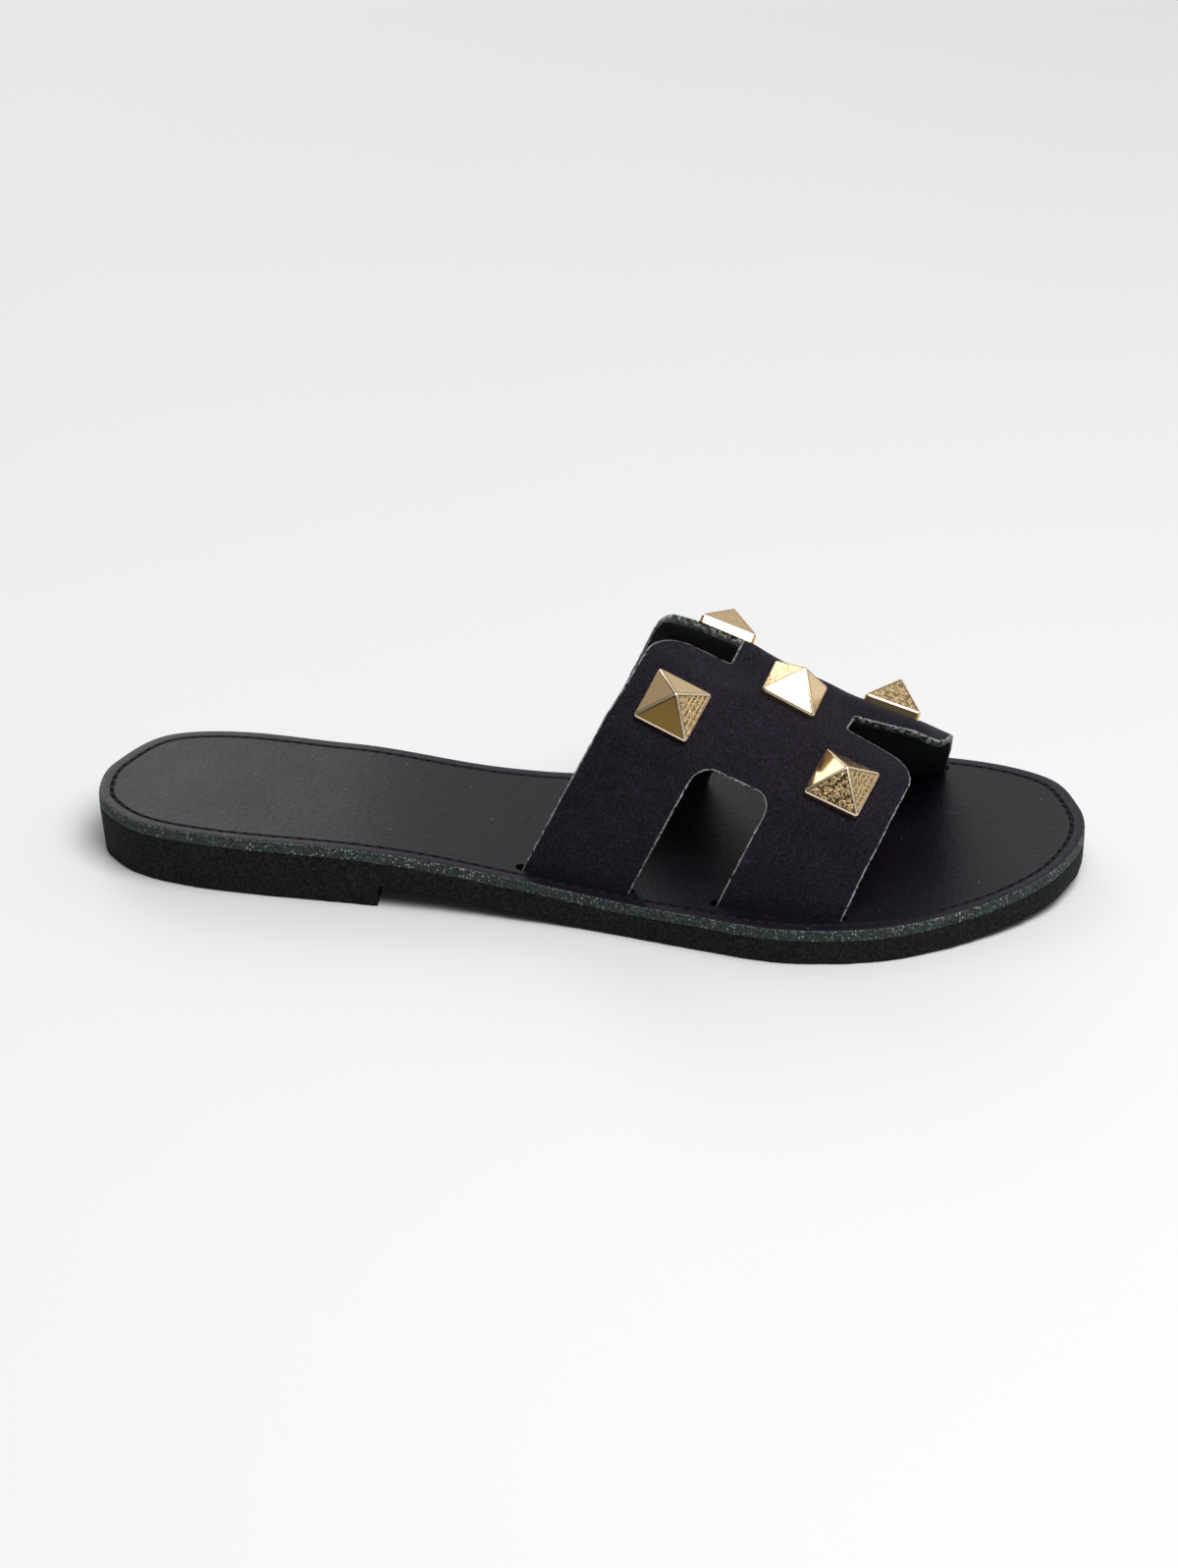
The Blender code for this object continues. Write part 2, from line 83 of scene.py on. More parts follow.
OUTLINE_ROWS = (
    OutlineRow(station=0.008, lateral=0.132, medial=0.093),
    OutlineRow(station=0.049, lateral=0.245, medial=0.258),
    OutlineRow(station=0.121, lateral=0.305, medial=0.305),
    OutlineRow(station=0.243, lateral=0.341, medial=0.266),
    OutlineRow(station=0.385, lateral=0.379, medial=0.222),
    OutlineRow(station=0.506, lateral=0.429, medial=0.268),
    OutlineRow(station=0.607, lateral=0.499, medial=0.382),
    OutlineRow(station=0.709, lateral=0.560, medial=0.454),
    OutlineRow(station=0.810, lateral=0.524, medial=0.475),
    OutlineRow(station=0.899, lateral=0.396, medial=0.427),
    OutlineRow(station=0.964, lateral=0.236, medial=0.320),
    OutlineRow(station=0.992, lateral=0.088, medial=0.160),
)
HEEL_TIP_OFFSET = -0.020
TOE_TIP_OFFSET = 0.035


class StrapSection(NamedTuple):
    """One arch of the strap: each side's turn and forward lean (degrees), and the leather its turn takes."""
    along: float
    lateral_turn: float
    lateral_run: float
    lateral_lean: float
    medial_turn: float
    medial_run: float
    medial_lean: float


FRONT_SECTION = StrapSection(
    along=-37 * MM,
    lateral_turn=78.6, lateral_run=64 * MM, lateral_lean=20.5,
    medial_turn=57, medial_run=35 * MM, medial_lean=25)
MIDDLE_SECTION = StrapSection(
    along=0 * MM,
    lateral_turn=80.2, lateral_run=59 * MM, lateral_lean=23,
    medial_turn=81, medial_run=27 * MM, medial_lean=24.2)
REAR_SECTION = StrapSection(
    along=37 * MM,
    lateral_turn=81.8, lateral_run=54 * MM, lateral_lean=25.5,
    medial_turn=94, medial_run=21 * MM, medial_lean=23.5)


class StrapEnd(NamedTuple):
    """One end of the flat pattern: the notch, then each side's flare, lobe, corner and foot."""
    notch_end: float
    lateral_notch: float
    lateral_flare: float
    lateral_lobe: float
    lateral_round: float
    lateral_foot: float
    medial_notch: float
    medial_flare: float
    medial_lobe: float
    medial_round: float
    medial_foot: float


FRONT_END = StrapEnd(
    notch_end=-17.8 * MM,
    lateral_notch=-6.6 * MM, lateral_flare=2.2 * MM, lateral_lobe=-38 * MM,
    lateral_round=9 * MM, lateral_foot=-39.2 * MM,
    medial_notch=0.2 * MM, medial_flare=5.5 * MM, medial_lobe=-39.6 * MM,
    medial_round=8 * MM, medial_foot=-43 * MM)
REAR_END = StrapEnd(
    notch_end=15.4 * MM,
    lateral_notch=-3.8 * MM, lateral_flare=0.8 * MM, lateral_lobe=34.5 * MM,
    lateral_round=9 * MM, lateral_foot=33.2 * MM,
    medial_notch=5.4 * MM, medial_flare=0.6 * MM, medial_lobe=37.6 * MM,
    medial_round=13 * MM, medial_foot=37.6 * MM)


class StudSeat(NamedTuple):
    """Where a hand-set stud sits on the flat pattern, and how it is turned and leans there, in degrees."""
    name: str
    across: float
    along: float
    turn: float
    lean_over: float
    lean_back: float


STUD_SEATS = (
    StudSeat("stud_center", across=-3.0 * MM, along=-1.4 * MM, turn=1, lean_over=0, lean_back=-1),
    StudSeat("stud_rear_lateral", across=-25.5 * MM, along=21.4 * MM, turn=3, lean_over=2, lean_back=3),
    StudSeat("stud_rear_medial", across=12.6 * MM, along=21.0 * MM, turn=-1, lean_over=0, lean_back=2),
    StudSeat("stud_front_lateral", across=-25.1 * MM, along=-23.8 * MM, turn=3, lean_over=6, lean_back=5),
    StudSeat("stud_front_medial", across=16.1 * MM, along=-24.0 * MM, turn=0, lean_over=0, lean_back=2.5),
)


class StudCasting(NamedTuple):
    """How pitted each face of a cast stud is, its rows of pin pits, and how much painted shade darkens its
    lateral face.
    """
    lateral: float = 0
    front: float = 0
    medial: float = 0.1
    rear: float = 0.1
    front_rows: float = 0
    # Share of painted shade, a darker gold standing in for a dark reflection, on the lateral face
    lateral_dim: float = 0


STUD_CASTINGS = {
    "stud_center": StudCasting(front=0.05, rear=0.25),
    # This stud's lateral face gets painted shade: a darker gold standing in for a dark reflection
    "stud_rear_lateral": StudCasting(front=0.15, medial=0.05, rear=0, front_rows=1, lateral_dim=1),
    "stud_rear_medial": StudCasting(lateral=0.15, front=0.1),
    "stud_front_lateral": StudCasting(lateral=1, front=0.15, rear=0, front_rows=1),
    "stud_front_medial": StudCasting(lateral=0.7, front=0.2, front_rows=0.5),
}


def size(name, millimetres, description):
    return FloatProperty(name=name, description=description, default=millimetres * MM,
                         unit="LENGTH", precision=5)


def turn(name, degrees, description):
    return FloatProperty(name=name, description=description, default=math.radians(degrees),
                         subtype="ANGLE")


def colour(name, default, description):
    return FloatVectorProperty(name=name, description=description, default=default,
                               subtype="COLOR", size=3, min=0.0, max=1.0)


def spot(name, default, description):
    return FloatVectorProperty(name=name, description=description, default=default,
                               subtype="TRANSLATION", size=3)


def values_of(group):
    """A property group's values by name."""
    return {key: getattr(group, key) for key in type(group).__annotations__}


class SandalSole(bpy.types.PropertyGroup):
    """Sizes of the outsole, the insole and its stitching."""
    length: size("Length", (SOLE_HIGH.x - SOLE_LOW.x) / MM, "Length of the sole, heel to toe")
    ball_width: size("Ball width", 91, "Width that the outline's shares are taken from")
    heel_top: size("Heel top", 15.7, "Height of the insole's top at the heel")
    sheet: size("Sheet", 6.2, "Thickness of the rubber sheet ahead of the heel")
    insole: size("Insole", 3.0, "Thickness of the insole")
    heel_slope_start: size("Slope start", 62, "Station where the heel starts to slope down")
    heel_slope_end: size("Slope end", 141, "Station where the slope ends at the ball")
    toe_spring: size("Toe spring", 3.0, "Rise of the toe's tip")
    toe_spring_start: size("Toe spring start", 195, "Station where the toe starts to rise")
    breast_station: size("Heel breast", 73.5, "Station of the heel block's front face")
    breast_fillet: size("Breast fillet", 1.6, "Rounding where the heel block meets the waist")
    bottom_round: size("Bottom edge", 0.6, "Rounding of the rubber's bottom edge")
    stitch_inset: size("Stitch inset", 3.2, "Distance of the stitch line from the edge")
    stitch_pitch: size("Stitch pitch", 3.4, "Distance from stitch to stitch")
    stitch_length: size("Stitch length", 2.7, "Length of one stitch on top")
    thread: size("Thread", 1.1, "Thickness of the thread")
    groove: size("Groove", 1.1, "Width of the groove that the stitches lie in")
    groove_depth: size("Groove depth", 0.45, "Depth of that groove")
    taper_end: size("Heel taper end", 50, "Station where the heel's extra lean ends")
    side_taper: FloatProperty(name="Side taper", description="How much the rubber's side leans in",
                              default=0.04)
    heel_taper: FloatProperty(name="Heel taper", description="The same at the back of the heel",
                              default=0.10)


class SandalStrap(bpy.types.PropertyGroup):
    """Sizes of the strap on its flat pattern, and how it is bent over the foot."""
    wall: size("Wall", 2.2, "Thickness of the leather")
    window_rear: size("Window rear", 8.5, "Rear side of the side windows")
    window_front: size("Window front", -10.8, "Front side of the side windows")
    window_top: size("Window top", 35, "Top of the side windows, from the middle")
    window_round: size("Window corners", 4.5, "Rounding of the windows' top corners")
    notch_round: size("Notch corners", 0.8, "Rounding of the notches' inner corners")
    leg_rise: size("Leg end", 1.2, "How far above the rubber the legs end")
    slot_play: size("Slot play", 0.6, "How far a slot runs past its leg at each end")
    edge_round: size("Edge", 0.35, "Rounding of the cut edges")
    cell: size("Cell", 1.1, "Size of the cells that let the leather bend")
    crown_station: size("Crown station", 172.9, "Station of the strap's middle")
    crown_offset: size("Crown offset", -0.3, "Sideways place of the strap's middle")
    crown_height: size("Crown height", 49.6, "Height of the strap's middle")
    crown_slope: turn("Crown slope", 23.4, "Rise of the strap towards the instep")
    crown_yaw: turn("Crown yaw", 7.5, "Turn of the crown line seen from above")
    section_yaw: turn("Section yaw", 13.9, "Turn of the arches seen from above")


class SandalStud(bpy.types.PropertyGroup):
    """Sizes of the pyramid studs."""
    side: size("Side", 14.6, "Side of the square base")
    skirt: size("Skirt", 1.4, "Height of the upright skirt over the strap")
    height: size("Height", 8.3, "Height of the tip over the strap")
    press_fade: size("Press fade", 9, "How far beside a stud the pressed leather takes to bend away")
    press: FloatProperty(name="Press", description="How flat a stud presses the leather under its base",
                         default=0.7)
    corner_round: size("Corners", 0.9, "Rounding of the skirt's upright corners")
    ridge_round: size("Ridges", 0.32, "Half width of the flat that runs along the ridges")
    bead_round: size("Bead", 0.45, "Rounding of the skirt's top edge")


class SandalFinish(bpy.types.PropertyGroup):
    """Colours of the materials."""
    rubber: colour("Rubber", (0.0104, 0.0101, 0.0106), "Matte black micro rubber")
    leather: colour("Leather", (0.0056, 0.0036, 0.0076), "Satin black top of the insole")
    raw_edge: colour("Raw edge", (0.016, 0.025, 0.023), "Green-black cut edge of the leather")
    fibre: colour("Fibre", (0.30, 0.33, 0.30), "Pale fibres in the cut edges")
    thread: colour("Thread", (0.006, 0.006, 0.006), "Waxed black thread")
    nubuck: colour("Nubuck", (0.0108, 0.0081, 0.0147), "Aubergine-black face of the strap")
    suede: colour("Suede", (0.0055, 0.005, 0.0056), "Underside of the strap")
    gold: colour("Gold", (0.86, 0.61, 0.32), "Pale gold plating")
    worn_gold: colour("Worn gold", (0.95, 0.80, 0.58), "Rubbed plating along the ridges and the base")
    # Painted shade: a darker gold for one stud face, standing in for a dark reflection
    dim_gold: colour("Dim gold", (0.245, 0.15, 0.045), "Darker plating of a stud's dim face")
    dust: colour("Dust", (0.28, 0.28, 0.29), "Specks of dust")


class SandalStage(bpy.types.PropertyGroup):
    """Floor, lights and camera."""
    floor: colour("Floor", (0.87, 0.87, 0.88), "Plain pale floor")
    floor_radius: size("Floor radius", 6000, "Radius of the round floor")
    camera: spot("Camera", (0.13256, -1.40769, 0.78385), "Place of the camera")
    aim: spot("Aim", (0.0, 0.0, 0.022), "Point that the camera looks at")
    lens: FloatProperty(name="Lens", description="Focal length for a 36 mm long side, in millimetres",
                        default=148.0)
    key_place: spot("Key place", (0.40, -0.40, 1.30), "Place of the softbox overhead")
    key_width: size("Key width", 1000, "Width of the softbox overhead")
    key_power: FloatProperty(name="Key light", description="Power of the softbox overhead, in watts",
                             default=17.3, unit="POWER")
    back_place: spot("Back place", (-0.60, 1.12, 0.64), "Place of the softbox behind the heel")
    back_width: size("Back width", 780, "Width of the softbox behind the heel")
    back_power: FloatProperty(name="Back light", description="Power of the softbox behind the heel, in watts",
                              default=3.6, unit="POWER")
    bright_side: FloatVectorProperty(name="Bright side", description="Where the room is brightest",
                                     subtype="XYZ", size=3, default=(0.46, 0.83, -0.32))
    room_dim: FloatProperty(name="Room, dim side", description="Least strength of the room's light",
                            default=0.03)
    room_bright: FloatProperty(name="Room, bright side", description="Most strength of that light",
                               default=0.72)


class SandalSettings(bpy.types.PropertyGroup):
    """All settings of the sandal."""
    sole: PointerProperty(type=SandalSole)
    strap: PointerProperty(type=SandalStrap)
    stud: PointerProperty(type=SandalStud)
    finish: PointerProperty(type=SandalFinish)
    stage: PointerProperty(type=SandalStage)


def smooth_step(share):
    share = np.clip(share, 0.0, 1.0)
    return share * share * (3 - 2 * share)


def closed_curve(controls, count):
    """A smooth closed curve through the controls, as evenly spaced points."""
    fine = []
    splits = 24
    total = len(controls)
    for index in range(total):
        before, start, end, after = (controls[(index + step) % total] for step in (-1, 0, 1, 2))
        reach = (end - start).length
        leave = (end - before) * reach / ((start - before).length + reach)
        arrive = (after - start) * reach / ((after - end).length + reach)
        for split in range(splits):
            u = split / splits
            fine.append(start * (2 * u ** 3 - 3 * u ** 2 + 1) + leave * (u ** 3 - 2 * u ** 2 + u)
                        + end * (3 * u ** 2 - 2 * u ** 3) + arrive * (u ** 3 - u ** 2))
    return even_points(fine, count)


def even_points(loop, count):
    """Points at equal steps round a closed loop."""
    lengths = [0.0]
    for index, point in enumerate(loop):
        lengths.append(lengths[-1] + (loop[(index + 1) % len(loop)] - point).length)
    points = []
    index = 0
    for step in range(count):
        target = lengths[-1] * step / count
        while lengths[index + 1] < target:
            index += 1
        share = (target - lengths[index]) / (lengths[index + 1] - lengths[index])
        points.append(loop[index].lerp(loop[(index + 1) % len(loop)], share))
    return points


def inward_normals(loop):
    """For each point of an anticlockwise loop, the direction into it."""
    runs = [loop[(index + 1) % len(loop)] - loop[index - 1] for index in range(len(loop))]
    return [Vector((-run.y, run.x)).normalized() for run in runs]


def loop_distance(points, loop):
    """Distance of each point, seen from above, from a closed loop."""
    starts = np.array([p[:2] for p in loop])
    runs = np.roll(starts, -1, axis=0) - starts
    nearest = np.full(len(points), np.inf)
    for start, run in zip(starts, runs):
        share = np.clip((points - start) @ run / (run @ run), 0.0, 1.0)
        nearest = np.minimum(nearest, np.linalg.norm(points - start - share[:, None] * run, axis=1))
    return nearest


def inside(point, loop):
    """Even-odd test of a point against a loop."""
    hit = False
    for index, a in enumerate(loop):
        b = loop[index - 1]
        if (a.y > point.y) != (b.y > point.y):
            if point.x < (b.x - a.x) * (point.y - a.y) / (b.y - a.y) + a.x:
                hit = not hit
    return hit


class SandalForm:
    """The shapes that the pieces share: the sole's outline and levels, and the bent strap."""

    def __init__(self, settings):
        self.sole = values_of(settings.sole)
        self.strap = values_of(settings.strap)
        self.stud = values_of(settings.stud)
        length = self.sole["length"]
        width = self.sole["ball_width"]
        lateral = [Vector((row.station * length, -row.lateral * width)) for row in OUTLINE_ROWS]
        medial = [Vector((row.station * length, row.medial * width)) for row in OUTLINE_ROWS]
        heel_tip = Vector((0, HEEL_TIP_OFFSET * width))
        toe_tip = Vector((length, TOE_TIP_OFFSET * width))
        loop = closed_curve([heel_tip] + lateral + [toe_tip] + medial[::-1], OUTLINE_POINTS)
        low = Vector((min(p.x for p in loop), min(p.y for p in loop)))
        high = Vector((max(p.x for p in loop), max(p.y for p in loop)))
        self.middle = (low + high) / 2
        self.outline = [p - self.middle for p in loop]
        self.seats = [(seat, *self.stud_axes(seat)) for seat in STUD_SEATS]

    def station(self, x):
        return x + self.middle.x

    def insole_top(self, x):
        """Height of the insole's top."""
        sole = self.sole
        ball_top = sole["sheet"] + SEAT_GAP + sole["insole"]
        slope = sole["heel_slope_end"] - sole["heel_slope_start"]
        fall = smooth_step((sole["heel_slope_end"] - self.station(x)) / slope)
        toe = (self.station(x) - sole["toe_spring_start"]) / (sole["length"] - sole["toe_spring_start"])
        lift = sole["toe_spring"] * np.maximum(toe, 0.0) ** 2
        return ball_top + (sole["heel_top"] - ball_top) * fall + lift

    def insole_base(self, x):
        return self.insole_top(x) - self.sole["insole"]

    def rubber_top(self, x):
        return self.insole_base(x) - SEAT_GAP

    def side_taper(self, x):
        """How much the rubber's side leans in: most at the back of the heel."""
        back = smooth_step(1 - self.station(x) / self.sole["taper_end"])
        return self.sole["side_taper"] + (self.sole["heel_taper"] - self.sole["side_taper"]) * back

    def rubber_bottom(self, x):
        """Height of the rubber's underside: heel block, breast, waist, ball and toe."""
        sole = self.sole
        ahead = self.station(x) - sole["breast_station"]
        fillet = sole["breast_fillet"]
        arc = np.sqrt(1 - np.clip(1 - ahead / fillet, 0.0, 1.0) ** 2)
        level = self.rubber_top(x) - sole["sheet"] - fillet * (1 - arc)
        return np.where(ahead < 0, 0.0, np.maximum(level, 0.0))

    def section(self, column, along):
        """A column of the strap's three sections, as a smooth curve along the strap."""
        front, middle, rear = (getattr(row, column) for row in (FRONT_SECTION, MIDDLE_SECTION, REAR_SECTION))
        share = (along - MIDDLE_SECTION.along) / (REAR_SECTION.along - MIDDLE_SECTION.along)
        return middle + (rear - front) / 2 * share + (front + rear - 2 * middle) / 2 * share ** 2

    def bent_middle(self, across, along):
        """Points of the flat pattern, bent over the foot: the leather's middle before it is studded."""
        strap = self.strap
        medial = across > 0
        bend, lean, run = (np.where(medial, self.section("medial_" + key, along),
                                    self.section("lateral_" + key, along))
                           for key in ("turn", "lean", "run"))
        bend, lean = np.radians(bend), np.radians(lean)
        steps = (np.arange(BEND_STEPS) + 0.5) / BEND_STEPS
        angle = bend[:, None] * smooth_step(np.abs(across)[:, None] * steps / run[:, None])
        reach = np.cos(angle).mean(axis=1) * across
        drop = np.sin(angle).mean(axis=1) * np.abs(across)
        yaw = strap["section_yaw"]
        sideways = np.array((math.sin(yaw), math.cos(yaw), 0))
        forward = np.array((math.cos(yaw), -math.sin(yaw), 0))
        back = along * math.cos(strap["crown_slope"])
        crown = np.stack((strap["crown_station"] - self.middle.x - back * math.cos(strap["crown_yaw"]),
                          strap["crown_offset"] - self.middle.y + back * math.sin(strap["crown_yaw"]),
                          strap["crown_height"] + along * math.sin(strap["crown_slope"])), axis=1)
        down = -np.sin(lean)[:, None] * forward - np.cos(lean)[:, None] * np.array((0, 0, 1))
        return crown + reach[:, None] * sideways + drop[:, None] * down

    def stud_axes(self, seat):
        """The place a stud presses the leather to, and its directions: over the strap, back, and up."""
        across = seat.across + NUDGE * np.array((0, 1, -1, 0))
        along = seat.along + NUDGE * np.array((0, 0, 0, 1))
        middle, right, left, behind = (Vector(place) for place in self.bent_middle(across, along))
        back = (behind - middle).normalized()
        normal = (right - left).cross(back).normalized()
        over = back.cross(normal)
        lean = over * math.tan(math.radians(seat.lean_over)) + back * math.tan(math.radians(seat.lean_back))
        up = (normal + lean).normalized()
        back = back * math.cos(math.radians(seat.turn)) + over * math.sin(math.radians(seat.turn))
        back = (back - up * back.dot(up)).normalized()
        leans = (abs(seat.lean_over), abs(seat.lean_back))
        lift = self.stud["side"] / 4 * sum(math.tan(math.radians(lean)) for lean in leans)
        return np.array(middle + up * lift), np.array(back.cross(up)), np.array(back), np.array(up)

    def strap_middle(self, across, along):
        """The middle of the leather, which each stud presses flatter under its base."""
        points = self.bent_middle(across, along)
        half, fade = self.stud["side"] / 2, self.stud["press_fade"]
        for seat, middle, _, _, up in self.seats:
            beside = smooth_step(1 - (np.abs(across - seat.across) - half) / fade)
            before = smooth_step(1 - (np.abs(along - seat.along) - half) / fade)
            sink = (points - middle) @ up * self.stud["press"] * beside * before
            points = points - np.outer(sink, up)
        return points

    def strap_point(self, across, along, height):
        """Points above (or below) the middle of the leather, and the leather's normals there."""
        over = self.strap_middle(across + NUDGE, along) - self.strap_middle(across - NUDGE, along)
        back = self.strap_middle(across, along + NUDGE) - self.strap_middle(across, along - NUDGE)
        normal = np.cross(over, back)
        normal /= np.linalg.norm(normal, axis=1, keepdims=True)
        return self.strap_middle(across, along) + normal * np.reshape(height, (-1, 1)), normal

    def meeting_point(self, side, along, level):
        """How far down a leg, on the flat pattern, it meets a level given as a function of x."""
        near, far = 25 * MM, 110 * MM
        for _ in range(40):
            middle = (near + far) / 2
            point = self.strap_middle(np.array([side * middle]), np.array([along]))[0]
            if point[2] > level(point[0]):
                near = middle
            else:
                far = middle
        return side * near

    def leg_foot(self, side, along):
        """The end of a leg on the flat pattern, inside its slot."""
        rise = self.strap["leg_rise"]
        return Vector((self.meeting_point(side, along, lambda x: self.rubber_top(x) + rise), along))

    def slot_loop(self, side, front, rear):
        """The punched slot in the insole that clears one leg."""
        steps = 10
        rows = []
        for step in range(steps + 1):
            along = front + (rear - front) * step / steps
            meets = [self.meeting_point(side, along, level) for level in (self.insole_top, self.insole_base)]
            places = self.strap_middle(np.array(meets), np.array([along, along]))
            rows.append([Vector(place[:2]) for place in places])
        middles = [(top + base) / 2 for top, base in rows]
        run = (rows[-1][0] - rows[0][0]).normalized()
        aside = Vector((-run.y, run.x))
        slant = max(abs((top - base).dot(aside)) for top, base in rows)
        drift = max(abs((top - base).dot(run)) for top, base in rows)
        gauge = math.hypot(1, slant / self.sole["insole"])
        half_width = self.strap["wall"] / 2 * gauge + SEAT_GAP + slant / 2
        stretch = run * (drift / 2 + self.strap["slot_play"])
        middles[0] = middles[0] - stretch
        middles[-1] = middles[-1] + stretch
        near_side = [middle + aside * half_width for middle in middles[1:-1]]
        far_side = [middle - aside * half_width for middle in middles[-2:0:-1]]
        return (near_side + self.slot_end(middles[-1], run, aside, half_width)
                + far_side + self.slot_end(middles[0], -run, -aside, half_width))

    def slot_end(self, tip, outward, start, radius):
        """The half round end of a slot, from its start side round its tip."""
        steps = 8
        angles = [math.pi * step / steps for step in range(steps + 1)]
        return [tip + (outward * (math.sin(angle) - 1) + start * math.cos(angle)) * radius
                for angle in angles]

    def slots(self):
        window_front, window_rear = self.strap["window_front"], self.strap["window_rear"]
        return [self.slot_loop(-1, FRONT_END.lateral_foot, window_front),
                self.slot_loop(-1, window_rear, REAR_END.lateral_foot),
                self.slot_loop(1, FRONT_END.medial_foot, window_front),
                self.slot_loop(1, window_rear, REAR_END.medial_foot)]

    def strap_corners(self):
        """Corners of the flat pattern with their rounding, anticlockwise from the front lateral leg."""
        strap = self.strap
        windows = (strap["window_front"], strap["window_rear"])
        for end, window, order in ((FRONT_END, windows[0], 1), (REAR_END, windows[1], -1)):
            lobes = (Vector((end.lateral_notch - end.lateral_flare, end.lateral_lobe)),
                     Vector((end.medial_notch + end.medial_flare, end.medial_lobe)))[::order]
            rounds = (end.lateral_round, end.medial_round)[::order]
            notch = (end.lateral_notch, end.medial_notch)[::order]
            feet = (end.lateral_foot, end.medial_foot)[::order]
            yield self.leg_foot(-order, window), 0.0
            yield self.leg_foot(-order, feet[0]), 0.0
            yield lobes[0], rounds[0]
            yield Vector((notch[0], end.notch_end)), strap["notch_round"]
            yield Vector((notch[1], end.notch_end)), strap["notch_round"]
            yield lobes[1], rounds[1]
            yield self.leg_foot(order, feet[1]), 0.0
            yield self.leg_foot(order, window), 0.0
            for along in windows[::order]:
                yield Vector((order * strap["window_top"], along)), strap["window_round"]


def raise_faces(builder, faces, height):
    """Extrude faces straight up."""
    grown = bmesh.ops.extrude_face_region(builder, geom=faces)["geom"]
    lifted = [item for item in grown if isinstance(item, bmesh.types.BMVert)]
    bmesh.ops.translate(builder, verts=lifted, vec=(0, 0, height))
    bmesh.ops.recalc_face_normals(builder, faces=builder.faces)


def slab(loops, low, high):
    """Flat-cut blocks: the face of each loop, extruded from low to high."""
    builder = bmesh.new()
    for loop in loops:
        base = builder.faces.new([builder.verts.new((p[0], p[1], low)) for p in loop])
        raise_faces(builder, [base], high - low)
    return builder


def rim_edges(builder, level):
    """The edges of a flat block that lie at one level."""
    return [edge for edge in builder.edges
            if all(abs(vert.co.z - level) < LEVEL_TOLERANCE for vert in edge.verts)]


def round_edges(builder, edges, radius, segments):
    """Bevel edges, and give the new faces."""
    return bmesh.ops.bevel(builder, geom=edges, offset=radius, offset_type="OFFSET", segments=segments,
                           profile=0.5, affect="EDGES", material=-1, clamp_overlap=True)["faces"]


def cut_across(builder, axis, places):
    """Cut a block by planes square to an axis."""
    direction = Vector((0, 0, 0))
    direction[axis] = 1
    for place in places:
        geometry = builder.verts[:] + builder.edges[:] + builder.faces[:]
        bmesh.ops.bisect_plane(builder, geom=geometry, dist=TINY, plane_co=direction * place,
                               plane_no=direction)


def steps_between(low, high, step):
    """Evenly spaced places, ends left out."""
    count = max(1, round((high - low) / step))
    return [low + (high - low) * index / count for index in range(1, count)]


def vert_places(builder):
    return np.array([vert.co[:] for vert in builder.verts])


def move_verts(builder, places):
    for vert, place in zip(builder.verts, places):
        vert.co = place


def ripple(places, scale, depth):
    """A noise value for each place, the same on every run."""
    return np.array([noise.noise(Vector(place) / scale) for place in places]) * depth


def mark_verts(builder, name, values):
    """Keep a value on each vertex, for its finish to read. Gives the layer."""
    layer = builder.verts.layers.float.new(name)
    for vert, value in zip(builder.verts, values):
        vert[layer] = value
    return layer


def mesh_object(name, builder):
    """Put a bmesh in the scene as an object."""
    mesh = bpy.data.meshes.new(name)
    builder.to_mesh(mesh)
    builder.free()
    thing = bpy.data.objects.new(name, mesh)
    bpy.context.scene.collection.objects.link(thing)
    return thing


def add_piece(name, builder, materials, nodes, sharp_angle=35):
    """Make a finished piece of a bmesh, riding on the frame in place of its nodes."""
    builder.normal_update()
    piece = mesh_object(name, builder)
    piece.data.shade_smooth()
    piece.data.set_sharp_from_angle(angle=math.radians(sharp_angle))
    for material in materials:
        piece.data.materials.append(material)
    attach(piece, "root")
    if nodes:
        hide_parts(*nodes)
    return piece


class Term:
    """A shader socket in Python arithmetic: each operation adds a Math node to its finish."""

    def __init__(self, finish, socket):
        self.finish = finish
        self.socket = socket

    def math(self, operation, first, second):
        return self.finish.node("ShaderNodeMath", {"operation": operation}, {0: first, 1: second})

    def __add__(self, other):
        return self.math("ADD", self, other)

    def __radd__(self, other):
        return self.math("ADD", other, self)

    def __sub__(self, other):
        return self.math("SUBTRACT", self, other)

    def __mul__(self, other):
        return self.math("MULTIPLY", self, other)

    def __abs__(self):
        return self.math("ABSOLUTE", self, 0.0)

    def fraction(self):
        return self.math("FRACT", self, 0.0)


